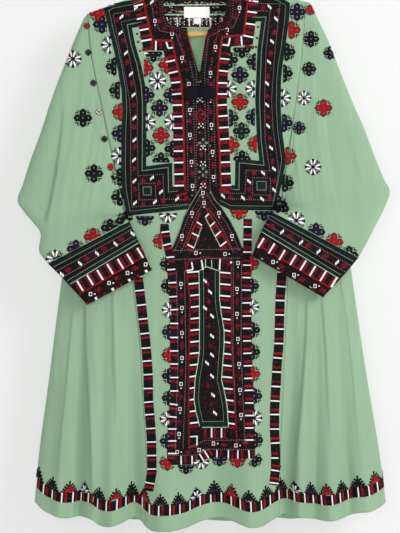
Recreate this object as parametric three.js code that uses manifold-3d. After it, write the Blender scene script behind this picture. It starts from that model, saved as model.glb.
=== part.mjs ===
// An embroidered dress on a plain wooden hanger, in millimetres, +Z up, the front facing -Y.
// The origin is the inside top of the hanger's hook. "drop" is the distance below it.
import * as THREE from 'three';
import { mergeVertices } from 'three/addons/utils/BufferGeometryUtils.js';
import Module from 'manifold-3d';

const wasm = await Module();
wasm.setup();

// Driving dimensions
const CLOTH = 1.5;
const SEAM_GAP = 0.3;
const TRIM_THICKNESS = 1.2;
const PLACKET_THICKNESS = 1.5;
const WAIST_DROP = 590;
const HEM_DROP = 1237;
const HEM_RISE_AT_SIDES = 44;
const HEM_BAND_FROM_HEM = 31;
const HEM_BAND_HEIGHT = 23;
const SHOULDER_APEX_DROP = 76;
const HANGER_SLOPE = 0.319;
const HANGER_TILT = 0.037;
const LEFT_SHOULDER_SLOPE = 0.36;
const RIGHT_SHOULDER_SLOPE = 0.279;
const SIDE_TOP_FALL = 42;
const FRONT_COLUMNS = 18;
const BACK_COLUMNS = 13;
const SIDE_COLUMNS = 12;
const SLEEVE_ARC = 4;
const CUFF_HALF_DEPTH = 9;
const CUFF_FORWARD = 40;

// Half the dress's thickness from front to back, and the outline of its sides
const BODY_DEPTH = [
  { drop: 80, half: 14 },
  { drop: 200, half: 14 },
  { drop: 330, half: 15 },
  { drop: 590, half: 18 },
  { drop: 700, half: 23 },
  { drop: 850, half: 31 },
  { drop: 1018, half: 40 },
  { drop: 1243, half: 50 },
];
const OUTLINE = [
  { drop: 80, left: -360, right: 364 },
  { drop: 590, left: -279, right: 303 },
  { drop: 632, left: -284, right: 309 },
  { drop: 766, left: -300, right: 326 },
  { drop: 934, left: -321, right: 351 },
  { drop: 1092, left: -342, right: 377 },
  { drop: 1243, left: -355, right: 396 },
];
// Armhole seams from the shoulder to the underarm, then the seams of the gathered side panels
const SEAMS = [
  { drop: 136, left: -239, right: 219 },
  { drop: 180, left: -238, right: 217 },
  { drop: 240, left: -233, right: 213 },
  { drop: 300, left: -222, right: 206 },
  { drop: 360, left: -209, right: 198 },
  { drop: 420, left: -196, right: 190 },
  { drop: 480, left: -183, right: 181 },
  { drop: 540, left: -169, right: 172 },
  { drop: 590, left: -155, right: 168 },
  { drop: 620, left: -151, right: 170 },
  { drop: 724, left: -144, right: 181 },
  { drop: 861, left: -128, right: 175 },
  { drop: 976, left: -122, right: 170 },
  { drop: 1060, left: -116, right: 166 },
  { drop: 1144, left: -114, right: 164 },
  { drop: 1243, left: -118, right: 161 },
];
// Folds: x at three heights, where the fold starts, its half width, and its depth at the hem
const FRONT_FOLDS = [
  { waist: -262, middle: -284, hem: -300, starts: 640, width: 15, depth: 15 },
  { waist: -244, middle: -246, hem: -258, starts: 620, width: 10, depth: -16 },
  { waist: -222, middle: -224, hem: -228, starts: 600, width: 12, depth: 10 },
  { waist: -188, middle: -184, hem: -186, starts: 650, width: 20, depth: 16 },
  { waist: -152, middle: -146, hem: -138, starts: 760, width: 17, depth: -14 },
  { waist: -96, middle: -88, hem: -76, starts: 800, width: 32, depth: 20 },
  { waist: -20, middle: 10, hem: 38, starts: 800, width: 34, depth: -10 },
  { waist: 92, middle: 98, hem: 104, starts: 800, width: 34, depth: 18 },
  { waist: 200, middle: 192, hem: 178, starts: 640, width: 13, depth: -14 },
  { waist: 222, middle: 215, hem: 205, starts: 610, width: 13, depth: 9 },
  { waist: 240, middle: 240, hem: 238, starts: 610, width: 10, depth: -9 },
  { waist: 258, middle: 266, hem: 272, starts: 640, width: 16, depth: 17 },
  { waist: 280, middle: 296, hem: 312, starts: 620, width: 11, depth: -13 },
  { waist: 295, middle: 320, hem: 352, starts: 620, width: 15, depth: 14 },
];
const BACK_FOLDS = [
  { waist: -255, middle: -280, hem: -298, starts: 630, width: 15, depth: 13 },
  { waist: -232, middle: -248, hem: -262, starts: 620, width: 11, depth: -13 },
  { waist: -205, middle: -210, hem: -216, starts: 610, width: 14, depth: 13 },
  { waist: -178, middle: -170, hem: -172, starts: 640, width: 12, depth: -11 },
  { waist: -90, middle: -104, hem: -112, starts: 700, width: 32, depth: 19 },
  { waist: -30, middle: -26, hem: -34, starts: 780, width: 26, depth: -14 },
  { waist: 40, middle: 46, hem: 44, starts: 740, width: 30, depth: 17 },
  { waist: 112, middle: 116, hem: 124, starts: 720, width: 24, depth: -13 },
  { waist: 204, middle: 206, hem: 214, starts: 620, width: 18, depth: 14 },
  { waist: 236, middle: 246, hem: 258, starts: 610, width: 11, depth: -12 },
  { waist: 262, middle: 284, hem: 306, starts: 620, width: 16, depth: 15 },
];
const GATHERS_A_SIDE = 9;
const GATHER_DEPTH = 2.4;
const GATHER_LENGTH = 150;

// The sleeves fan round the underarm: the outer end of each section, how far it comes forward, half its depth
const LEFT_SLEEVE = [
  { x: -238, drop: 162, forward: 0, half: 12 },
  { x: -248, drop: 176, forward: 0, half: 12 },
  { x: -263, drop: 210, forward: 0, half: 13 },
  { x: -280, drop: 252, forward: 0, half: 13 },
  { x: -302, drop: 308, forward: 1, half: 14 },
  { x: -320, drop: 359, forward: 2, half: 15 },
  { x: -337, drop: 412, forward: 3, half: 15 },
  { x: -359, drop: 472, forward: 4, half: 15 },
  { x: -374, drop: 520, forward: 5, half: 14 },
  { x: -386, drop: 557, forward: 7, half: 13 },
  { x: -370, drop: 583, forward: 13, half: 12 },
  { x: -350, drop: 606, forward: 20, half: 11 },
  { x: -335, drop: 628, forward: 29, half: 10 },
  { x: -337, drop: 664, forward: 37, half: 9.5 },
  { x: -318, drop: 691, forward: 40, half: 9 },
];
const RIGHT_SLEEVE = [
  { x: 218, drop: 137, forward: 0, half: 12 },
  { x: 230, drop: 142, forward: 0, half: 12 },
  { x: 244, drop: 171, forward: 0, half: 13 },
  { x: 266, drop: 216, forward: 0, half: 13 },
  { x: 285, drop: 265, forward: 1, half: 14 },
  { x: 302, drop: 308, forward: 1, half: 15 },
  { x: 322, drop: 357, forward: 2, half: 15 },
  { x: 343, drop: 404, forward: 3, half: 15 },
  { x: 366, drop: 465, forward: 4, half: 14 },
  { x: 385, drop: 512, forward: 5, half: 13 },
  { x: 397, drop: 538, forward: 9, half: 12 },
  { x: 386, drop: 570, forward: 16, half: 11 },
  { x: 367, drop: 606, forward: 26, half: 10 },
  { x: 347, drop: 643, forward: 36, half: 9.5 },
  { x: 327, drop: 679, forward: 40, half: 9 },
];
// The step where each sleeve's forearm is folded over its upper arm
const LEFT_SLEEVE_STEP = [
  { drop: 300, x: -288, rise: 0 },
  { drop: 410, x: -294, rise: 4 },
  { drop: 494, x: -304, rise: 8 },
  { drop: 567, x: -317, rise: 8 },
  { drop: 630, x: -334, rise: 2 },
];
const RIGHT_SLEEVE_STEP = [
  { drop: 330, x: 252, rise: 0 },
  { drop: 410, x: 262, rise: 3 },
  { drop: 514, x: 277, rise: 6 },
  { drop: 588, x: 288, rise: 5 },
  { drop: 650, x: 297, rise: 1 },
];
const LEFT_UNDERARM = { x: -155, drop: 588 };
const RIGHT_UNDERARM = { x: 169, drop: 572 };
// Cuffs: the outer and inner ends of their top edge, middle and wrist edge
const LEFT_CUFF = [
  { outerX: -318, outerDrop: 691, innerX: -149, innerDrop: 603 },
  { outerX: -290, outerDrop: 719, innerX: -137, innerDrop: 629 },
  { outerX: -264, outerDrop: 747, innerX: -122, innerDrop: 660 },
  { outerX: -237, outerDrop: 776, innerX: -103, innerDrop: 704 },
];
const RIGHT_CUFF = [
  { outerX: 327, outerDrop: 679, innerX: 149, innerDrop: 584 },
  { outerX: 303, outerDrop: 708, innerX: 134, innerDrop: 605 },
  { outerX: 279, outerDrop: 734, innerX: 119, innerDrop: 638 },
  { outerX: 254, outerDrop: 760, innerX: 107, innerDrop: 674 },
];

// Outlines of what lies on the front, seen from the front
const FRONT_NECK = [
  { x: -82, drop: 40 },
  { x: -80, drop: 136 },
  { x: -76, drop: 168 },
  { x: -67, drop: 187 },
  { x: -48, drop: 193 },
  { x: -29, drop: 196 },
  { x: -6, drop: 287 },
  { x: -2, drop: 289 },
  { x: 8, drop: 222 },
  { x: 15, drop: 199 },
  { x: 25, drop: 193 },
  { x: 43, drop: 184 },
  { x: 50, drop: 168 },
  { x: 53, drop: 136 },
  { x: 57, drop: 40 },
];
const BACK_NECK = [
  { x: -82, drop: 40 },
  { x: -78, drop: 104 },
  { x: -60, drop: 114 },
  { x: -30, drop: 120 },
  { x: 0, drop: 120 },
  { x: 32, drop: 112 },
  { x: 52, drop: 98 },
  { x: 57, drop: 40 },
];
const CHEST = [
  { x: -204, drop: 60 },
  { x: -204, drop: 153 },
  { x: -193, drop: 200 },
  { x: -183, drop: 242 },
  { x: -174, drop: 284 },
  { x: -166, drop: 326 },
  { x: -162, drop: 368 },
  { x: -165, drop: 452 },
  { x: -167, drop: 514 },
  { x: -157, drop: 588 },
  { x: -33, drop: 574 },
  { x: 34, drop: 562 },
  { x: 44, drop: 569 },
  { x: 155, drop: 578 },
  { x: 162, drop: 546 },
  { x: 168, drop: 514 },
  { x: 174, drop: 480 },
  { x: 176, drop: 458 },
  { x: 171, drop: 430 },
  { x: 166, drop: 368 },
  { x: 168, drop: 304 },
  { x: 176, drop: 242 },
  { x: 185, drop: 178 },
  { x: 189, drop: 60 },
];
const PLACKET = [
  { x: -36, drop: 180 },
  { x: -32, drop: 260 },
  { x: -33, drop: 575 },
  { x: 34, drop: 563 },
  { x: 34, drop: 260 },
  { x: 36, drop: 180 },
];
const POCKET = [
  { x: 4, drop: 527 },
  { x: -10, drop: 540 },
  { x: -26, drop: 567 },
  { x: -44, drop: 597 },
  { x: -86, drop: 607 },
  { x: -82, drop: 662 },
  { x: -69, drop: 758 },
  { x: -66, drop: 900 },
  { x: -66, drop: 980 },
  { x: -70, drop: 1020 },
  { x: -69, drop: 1118 },
  { x: 118, drop: 1103 },
  { x: 112, drop: 1050 },
  { x: 111, drop: 976 },
  { x: 106, drop: 872 },
  { x: 105, drop: 746 },
  { x: 109, drop: 680 },
  { x: 109, drop: 597 },
  { x: 52, drop: 590 },
  { x: 36, drop: 566 },
  { x: 20, drop: 540 },
];
const STRIP_WIDTH = 20;
const STRIP_TOP_DROP = 615;
const STRIP_END_DROP = 1166;
const STRIP_EDGE = 2;
const STRIP_NARROWS_DROP = 1100;
const BACK_NECK_BAND_DROP = 198;
const BACK_NECK_BAND_SIDE = 26;
const LABEL = { left: -36, right: 18, top: 146, bottom: 169 };
const SIZE_TAB = { left: -15, right: 0, top: 170, bottom: 182 };
const LABEL_THICKNESS = 1;

// Hanger
const ARM_THICKNESS = 11;
const ARM_CLEARANCE = 2;
const ARM_HEIGHT = 24;
const ARM_HALF_SPAN = 216;
const ARM_TOP_FLAT = 10;
const BAR_RADIUS = 6;
const BAR_DROP = 205;
const LUG_WIDTH = 16;
const LUG_X = 186;
const HOOK_WIRE_RADIUS = 2;
const HOOK_INNER_RADIUS = 18;

// Bow on the placket
const BOW = { x: -2, drop: 331, halfWidth: 30, halfHeight: 8, halfDepth: 4.5, lift: 7.7 };

// Colours
const GREEN = 0x96ba99;
const DARK = 0x241c26;
const TRIM = 0x5a2a33;
const NAVY = 0x1b1a2e;
const WHITE = 0xf2f2f0;
const WOOD = 0xd9a860;
const STEEL = 0xc4c6c8;

// Reads a named column of a table at a drop, straight between its rows
function read(table, drop, column) {
  if (drop <= table[0].drop) return table[0][column];
  for (let i = 1; i < table.length; i += 1) {
    if (drop <= table[i].drop) {
      const share = (drop - table[i - 1].drop) / (table[i].drop - table[i - 1].drop);
      return THREE.MathUtils.lerp(table[i - 1][column], table[i][column], share);
    }
  }
  return table[table.length - 1][column];
}

function shoulderDrop(x) {
  const slope = x < 0 ? LEFT_SHOULDER_SLOPE : RIGHT_SHOULDER_SLOPE;
  return SHOULDER_APEX_DROP + Math.abs(x) * slope;
}

function middleX(drop) {
  return (read(OUTLINE, drop, 'left') + read(OUTLINE, drop, 'right')) / 2;
}

// Where x lies between the middle (0) and the side outline (1 or -1)
function across(x, drop) {
  const middle = middleX(drop);
  const edge = read(OUTLINE, drop, x < middle ? 'left' : 'right');
  return THREE.MathUtils.clamp((x - middle) / Math.abs(edge - middle), -1, 1);
}

function foldX(fold, drop) {
  const middleDrop = (WAIST_DROP + HEM_DROP) / 2;
  if (drop < middleDrop) {
    return THREE.MathUtils.mapLinear(Math.max(drop, WAIST_DROP), WAIST_DROP, middleDrop, fold.waist, fold.middle);
  }
  return THREE.MathUtils.mapLinear(drop, middleDrop, HEM_DROP, fold.middle, fold.hem);
}

function foldDepth(folds, x, drop) {
  let sum = 0;
  for (const fold of folds) {
    const grown = THREE.MathUtils.smoothstep(drop, fold.starts, HEM_DROP + 120);
    const away = (x - foldX(fold, drop)) / fold.width;
    sum += fold.depth * grown * 1.25 * Math.exp(-away * away);
  }
  return sum;
}

// Small gathers under the top edge of the side panels
function gatherDepth(x, drop) {
  const middle = middleX(drop);
  const seam = read(SEAMS, drop, x < middle ? 'left' : 'right');
  const edge = read(OUTLINE, drop, x < middle ? 'left' : 'right');
  const share = (x - seam) / (edge - seam);
  if (share <= 0) return 0;
  const fade = Math.max(0, 1 - (drop - WAIST_DROP) / GATHER_LENGTH);
  return GATHER_DEPTH * fade * Math.sin(share * GATHERS_A_SIDE * Math.PI) * Math.min(1, share * 6);
}

function bodyDepth(side, x, drop) {
  const w = across(x, drop);
  const round = Math.pow(Math.max(0, 1 - w * w), 0.4);
  const folds = side < 0 ? FRONT_FOLDS : BACK_FOLDS;
  const waves = foldDepth(folds, x, drop) + gatherDepth(x, drop);
  return read(BODY_DEPTH, drop, 'half') * round + waves * (1 - w ** 4);
}

function hemDrop(x) {
  const w = across(x, HEM_DROP);
  return HEM_DROP - HEM_RISE_AT_SIDES * Math.abs(w) ** 3;
}

// Rows of the skirt: shares of the way from the waist to the hem band, then the band and the hem
const SKIRT_ROWS = [0, 30, 66, 112, 166, 226, 290, 355, 420, 480, 540];
const TOP_ROWS = [
  { below: 0, share: 0 },
  { below: 3, share: 0.64 },
  { below: 8, share: 0.95 },
];
const CHEST_ROWS = 10;

function skirtDrops(x) {
  const hem = hemDrop(x);
  const bandBottom = hem - HEM_BAND_FROM_HEM;
  const bandTop = bandBottom - HEM_BAND_HEIGHT;
  const last = SKIRT_ROWS[SKIRT_ROWS.length - 1];
  const reach = bandTop - WAIST_DROP;
  const drops = SKIRT_ROWS.map((row) => WAIST_DROP + row * Math.min(1, reach / (last + 20)));
  return [...drops, bandTop, bandBottom, hem - HEM_BAND_FROM_HEM / 2, hem];
}

// A point on the outside of the body: side is -1 for the front and 1 for the back
function bodyPoint(side, x, drop, share = 1) {
  const depth = Math.max(bodyDepth(side, x, drop) * share, SEAM_GAP / 2);
  return new THREE.Vector3(x, side * depth, -drop);
}

// The rows of a column of the front or back, from the shoulder to the hem; f runs from seam to seam
function panelColumn(side, f) {
  const column = [];
  const at = (drop) => {
    const left = read(SEAMS, drop, 'left');
    const right = read(SEAMS, drop, 'right');
    return THREE.MathUtils.lerp(left, right, f);
  };
  const top = shoulderDrop(at(SEAMS[0].drop));
  for (const row of TOP_ROWS) {
    column.push(bodyPoint(side, at(top), top + row.below, row.share));
  }
  const start = top + TOP_ROWS[TOP_ROWS.length - 1].below;
  for (let i = 1; i < CHEST_ROWS; i += 1) {
    const drop = THREE.MathUtils.lerp(start, WAIST_DROP, i / CHEST_ROWS);
    column.push(bodyPoint(side, at(drop), drop));
  }
  const skirtX = THREE.MathUtils.lerp(
    read(SEAMS, HEM_DROP, 'left'),
    read(SEAMS, HEM_DROP, 'right'),
    f,
  );
  for (const drop of skirtDrops(skirtX)) {
    column.push(bodyPoint(side, at(drop), drop));
  }
  return column;
}

// A column of a gathered side panel: turn runs from the seam (0) to the side outline (1)
function sideColumn(side, edge, turn) {
  const at = (drop) => {
    const middle = middleX(drop);
    const seam = read(SEAMS, drop, edge);
    const end = read(OUTLINE, drop, edge);
    const start = Math.asin((seam - middle) / (end - middle));
    return middle + (end - middle) * Math.sin(THREE.MathUtils.lerp(start, Math.PI / 2, turn));
  };
  const fall = SIDE_TOP_FALL * turn ** 0.7;
  const fade = [1, 1, 1, 0.8, 0.5, 0.25, 0.1];
  const drops = skirtDrops(at(HEM_DROP));
  const topDrops = [drops[0], drops[0] + 4, drops[0] + 12, ...drops.slice(1)];
  const shares = [0, 0.6, 0.95];
  return topDrops.map((drop, i) => {
    const moved = drop + fall * (fade[i] ?? 0);
    return bodyPoint(side, at(drop), moved, shares[i] ?? 1);
  });
}

// Turns columns of points into rows
function rowsOf(columns) {
  return columns[0].map((_, r) => columns.map((column) => column[r]));
}

function normalsOf(rows, ringed = false) {
  const last = rows[0].length - 1;
  return rows.map((row, r) => row.map((point, c) => {
    const up = rows[Math.max(r - 1, 0)][c];
    const down = rows[Math.min(r + 1, rows.length - 1)][c];
    const before = row[ringed ? (c + last) % (last + 1) : Math.max(c - 1, 0)];
    const after = row[ringed ? (c + 1) % (last + 1) : Math.min(c + 1, last)];
    const normal = after.clone().sub(before).cross(down.clone().sub(up));
    const onSeam = !ringed && (c === 0 || c === last);
    if (onSeam) normal.x = 0;
    return normal.normalize();
  }));
}

// The same rows moved along their normals
function moved(rows, normals, distance) {
  return rows.map((row, r) => row.map((point, c) => (
    point.clone().addScaledVector(normals[r][c], distance)
  )));
}

// The inner face of a sheet, kept on its own side of the middle; sides holds -1, 0 or 1 for each column
function innerFace(rows, normals, sides) {
  const inner = moved(rows, normals, -CLOTH);
  for (const row of inner) {
    row.forEach((point, c) => {
      const near = SEAM_GAP / 2;
      if (sides[c] !== 0 && point.y * sides[c] < near) point.y = near * sides[c];
    });
  }
  return inner;
}

function signedVolume(positions, index) {
  const [a, b, c] = [new THREE.Vector3(), new THREE.Vector3(), new THREE.Vector3()];
  let sum = 0;
  for (let i = 0; i < index.length; i += 3) {
    a.fromArray(positions, index[i] * 3);
    b.fromArray(positions, index[i + 1] * 3);
    c.fromArray(positions, index[i + 2] * 3);
    sum += a.dot(b.cross(c));
  }
  return sum;
}

// A closed wall between two sheets of rows; ringed joins the last column to the first
function wall(outer, inner, ringed = false) {
  const rows = outer.length;
  const columns = outer[0].length;
  const positions = [];
  for (const sheet of [outer, inner]) {
    for (const row of sheet) {
      for (const point of row) positions.push(point.x, point.y, point.z);
    }
  }
  const at = (sheet, r, c) => (sheet * rows + r) * columns + (c % columns);
  const index = [];
  const quad = (a, b, c, d) => index.push(a, b, c, a, c, d);
  const cells = ringed ? columns : columns - 1;
  for (let r = 0; r < rows - 1; r += 1) {
    for (let c = 0; c < cells; c += 1) {
      quad(at(0, r, c), at(0, r, c + 1), at(0, r + 1, c + 1), at(0, r + 1, c));
      quad(at(1, r, c), at(1, r + 1, c), at(1, r + 1, c + 1), at(1, r, c + 1));
    }
  }
  for (let c = 0; c < cells; c += 1) {
    quad(at(0, 0, c), at(1, 0, c), at(1, 0, c + 1), at(0, 0, c + 1));
    const r = rows - 1;
    quad(at(0, r, c), at(0, r, c + 1), at(1, r, c + 1), at(1, r, c));
  }
  if (!ringed) {
    for (let r = 0; r < rows - 1; r += 1) {
      quad(at(0, r, 0), at(0, r + 1, 0), at(1, r + 1, 0), at(1, r, 0));
      const c = columns - 1;
      quad(at(0, r, c), at(1, r, c), at(1, r + 1, c), at(0, r + 1, c));
    }
  }
  if (signedVolume(positions, index) < 0) index.reverse();
  const geometry = new THREE.BufferGeometry();
  geometry.setAttribute('position', new THREE.Float32BufferAttribute(positions, 3));
  geometry.setIndex(index);
  return geometry;
}

// Solids for cutting and joining
function solid(geometry) {
  const bare = geometry.clone();
  bare.deleteAttribute('normal');
  bare.deleteAttribute('uv');
  const merged = mergeVertices(bare, 1e-4);
  return new wasm.Manifold(new wasm.Mesh({
    numProp: 3,
    vertProperties: merged.getAttribute('position').array,
    triVerts: new Uint32Array(merged.index.array),
  }));
}

function geometryOf(manifold) {
  const cut = manifold.getMesh();
  const geometry = new THREE.BufferGeometry();
  geometry.setAttribute('position', new THREE.Float32BufferAttribute(cut.vertProperties, 3));
  geometry.setIndex([...cut.triVerts]);
  return geometry;
}

// A prism through the front (side -1) or the back (side 1) over an outline seen from the front
const PRISM_DEPTH = 200;
function prism(outline, side) {
  const shape = new THREE.Shape(outline.map((point) => new THREE.Vector2(point.x, -point.drop)));
  const geometry = new THREE.ExtrudeGeometry(shape, { depth: PRISM_DEPTH, bevelEnabled: false });
  geometry.rotateX(Math.PI / 2);
  if (side > 0) geometry.translate(0, PRISM_DEPTH, 0);
  return solid(geometry);
}

function grown(outline, margin) {
  const middle = { x: 0, drop: 0 };
  for (const point of outline) {
    middle.x += point.x / outline.length;
    middle.drop += point.drop / outline.length;
  }
  return outline.map((point) => ({
    x: point.x + Math.sign(point.x - middle.x) * margin,
    drop: point.drop + Math.sign(point.drop - middle.drop) * margin,
  }));
}

const group = new THREE.Group();

function add(name, geometry, colour, roughness = 0.85, metalness = 0) {
  const material = new THREE.MeshStandardMaterial({ color: colour, roughness, metalness });
  const mesh = new THREE.Mesh(geometry, material);
  mesh.name = name;
  group.add(mesh);
  return mesh;
}

// Front and back panels, from the shoulders to the hem
function panelRows(side, count) {
  const columns = [];
  for (let c = 0; c <= count; c += 1) columns.push(panelColumn(side, c / count));
  return rowsOf(columns);
}

function turnedOut(normals, side) {
  const middleRow = normals[Math.floor(normals.length / 2)];
  const inward = middleRow[Math.floor(middleRow.length / 2)].y * side < 0;
  if (inward) for (const row of normals) for (const normal of row) normal.negate();
  return normals;
}

const frontRows = panelRows(-1, FRONT_COLUMNS);
const backRows = panelRows(1, BACK_COLUMNS);
const frontNormals = turnedOut(normalsOf(frontRows), -1);
const backNormals = turnedOut(normalsOf(backRows), 1);

function cutNeck(geometry, outline, side) {
  return geometryOf(solid(geometry).subtract(prism(outline, side)));
}

const frontSides = frontRows[0].map(() => -1);
const backSides = backRows[0].map(() => 1);
const frontWall = wall(frontRows, innerFace(frontRows, frontNormals, frontSides));
const backWall = wall(backRows, innerFace(backRows, backNormals, backSides));
add('front_panel', cutNeck(frontWall, FRONT_NECK, -1), GREEN);
add('back_panel', cutNeck(backWall, BACK_NECK, 1), GREEN);

// Gathered side panels, from the front seam round the side to the back seam
function sideRows(edge) {
  const columns = [];
  for (let c = 0; c <= SIDE_COLUMNS; c += 1) columns.push(sideColumn(-1, edge, c / SIDE_COLUMNS));
  for (let c = SIDE_COLUMNS - 1; c >= 0; c -= 1) columns.push(sideColumn(1, edge, c / SIDE_COLUMNS));
  const inset = (edge === 'left' ? -1 : 1) * SEAM_GAP * 2;
  for (const column of [columns[0], columns[columns.length - 1]]) {
    for (const point of column) point.x += inset;
  }
  return rowsOf(columns);
}

function outward(rows, normals, middleColumn) {
  const towards = rows[10][middleColumn].x;
  const turned = Math.sign(normals[10][middleColumn].x) !== Math.sign(towards);
  if (turned) for (const row of normals) for (const n of row) n.negate();
  return normals;
}

function sidePanel(edge) {
  const rows = sideRows(edge);
  const normals = outward(rows, normalsOf(rows), SIDE_COLUMNS);
  const sides = rows[0].map((_, c) => Math.sign(c - SIDE_COLUMNS));
  add('side_panel_' + edge, wall(rows, innerFace(rows, normals, sides)), GREEN);
  return { rows, normals };
}

const leftSide = sidePanel('left');
const rightSide = sidePanel('right');

// Trims that lie on the front: a sheet of the front's own points moved out, inside an outline
function onPanel(rows, normals, side, outline, thickness) {
  const sheet = wall(
    moved(rows, normals, SEAM_GAP + thickness),
    moved(rows, normals, SEAM_GAP),
  );
  return solid(sheet).intersect(prism(outline, side));
}

const neckHole = prism(FRONT_NECK, -1);
const placketHole = prism(grown(PLACKET, SEAM_GAP), -1);
const pocketHole = prism(grown(POCKET, SEAM_GAP), -1);
for (const [edge, sign] of [['left', -1], ['right', 1]]) {
  const outline = CHEST.filter((point) => point.x * sign > 0);
  const middle = [{ x: 0, drop: 580 }, { x: 0, drop: 60 }];
  const half = sign < 0 ? [...outline, ...middle] : [...middle.reverse(), ...outline];
  const chest = onPanel(frontRows, frontNormals, -1, half, TRIM_THICKNESS)
    .subtract(neckHole)
    .subtract(placketHole)
    .subtract(pocketHole);
  add('chest_panel_' + edge, geometryOf(chest), TRIM);
}
const placket = onPanel(frontRows, frontNormals, -1, PLACKET, PLACKET_THICKNESS)
  .subtract(neckHole)
  .subtract(pocketHole);
add('neck_placket', geometryOf(placket), DARK);
const pocket = onPanel(frontRows, frontNormals, -1, POCKET, PLACKET_THICKNESS);
add('pocket', geometryOf(pocket), TRIM);

// Strips down the seams of the front
function stripOutline(edge) {
  const inward = edge === 'left' ? 1 : -1;
  const drops = SEAMS.map((row) => row.drop).filter((drop) => drop > STRIP_TOP_DROP && drop < STRIP_END_DROP);
  const steps = [STRIP_TOP_DROP, ...drops, STRIP_END_DROP];
  const seamSide = steps.map((drop) => ({ x: read(SEAMS, drop, edge) + inward * STRIP_EDGE, drop }));
  const inside = steps.map((drop) => {
    const width = drop > STRIP_NARROWS_DROP ? STRIP_WIDTH * 0.75 : STRIP_WIDTH;
    return { x: read(SEAMS, drop, edge) + inward * (STRIP_EDGE + width), drop };
  });
  return [...seamSide, ...inside.reverse()];
}

for (const edge of ['left', 'right']) {
  const strip = onPanel(frontRows, frontNormals, -1, stripOutline(edge), TRIM_THICKNESS);
  add('strip_' + edge, geometryOf(strip), TRIM);
}

// Hem bands on each panel, from the same points
function hemBand(name, rows, normals) {
  const end = rows.length - 2;
  const some = rows.slice(end - 2, end);
  const someNormals = normals.slice(end - 2, end);
  const band = wall(
    moved(some, someNormals, SEAM_GAP + TRIM_THICKNESS),
    moved(some, someNormals, SEAM_GAP),
  );
  add(name, band, TRIM);
}
hemBand('hem_band_front', frontRows, frontNormals);
hemBand('hem_band_back', backRows, backNormals);
hemBand('hem_band_left', leftSide.rows, leftSide.normals);
hemBand('hem_band_right', rightSide.rows, rightSide.normals);

// Band round the back of the neck, outside, and the blank label and size tab inside
const BACK_NECK_BAND = [
  { x: BACK_NECK[1].x - BACK_NECK_BAND_SIDE, drop: 60 },
  { x: BACK_NECK[1].x - BACK_NECK_BAND_SIDE, drop: BACK_NECK_BAND_DROP - 14 },
  { x: -20, drop: BACK_NECK_BAND_DROP },
  { x: 10, drop: BACK_NECK_BAND_DROP },
  { x: BACK_NECK[6].x + BACK_NECK_BAND_SIDE, drop: BACK_NECK_BAND_DROP - 20 },
  { x: BACK_NECK[6].x + BACK_NECK_BAND_SIDE, drop: 60 },
];
const neckBand = onPanel(backRows, backNormals, 1, BACK_NECK_BAND, TRIM_THICKNESS);
add('back_neck_band', geometryOf(neckBand.subtract(prism(BACK_NECK, 1))), TRIM);

function insideBack(name, frame, colour) {
  const outline = [
    { x: frame.left, drop: frame.top },
    { x: frame.left, drop: frame.bottom },
    { x: frame.right, drop: frame.bottom },
    { x: frame.right, drop: frame.top },
  ];
  const near = -(CLOTH + SEAM_GAP);
  const sheet = wall(
    moved(backRows, backNormals, near),
    moved(backRows, backNormals, near - LABEL_THICKNESS),
  );
  add(name, geometryOf(solid(sheet).intersect(prism(outline, 1))), colour);
}
insideBack('label', LABEL, WHITE);
insideBack('size_tab', SIZE_TAB, WHITE);

// Sleeves and cuffs: flat tubes through sections from an outer end to an inner end
const RING_START = [0, 0.007, 0.019];
const RING_END = [0.96, 0.988, 1];
const RING_STEPS = [...RING_START];
for (let i = 1; i < CHEST_ROWS; i += 1) {
  RING_STEPS.push(THREE.MathUtils.lerp(RING_START[2], 1, i / CHEST_ROWS));
}
RING_STEPS.push(...RING_END);

function ringOf(section, inset) {
  const length = Math.hypot(section.outerX - section.innerX, section.outerDrop - section.innerDrop);
  const half = section.half - inset;
  const points = [];
  const place = (t, side) => {
    const share = inset / length + t * (1 - 2 * inset / length);
    const x = THREE.MathUtils.lerp(section.outerX, section.innerX, share);
    const drop = THREE.MathUtils.lerp(section.outerDrop, section.innerDrop, share);
    const bend = section.bend(share);
    const fromEnd = Math.min(t / section.round, (1 - t) / section.round, 1);
    const depth = half * Math.sqrt(1 - (1 - fromEnd) ** 2);
    const step = side < 0 ? section.step(x + bend, drop) * fromEnd : 0;
    points.push(new THREE.Vector3(x + bend, -section.forward + side * depth - step, -drop));
  };
  for (const t of RING_STEPS) place(t, -1);
  for (const t of RING_STEPS.slice(1, -1).reverse()) place(t, 1);
  return points;
}

function tube(sections) {
  const outer = sections.map((section) => ringOf(section, 0));
  const inner = sections.map((section) => ringOf(section, CLOTH));
  return wall(outer, inner, true);
}

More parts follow.
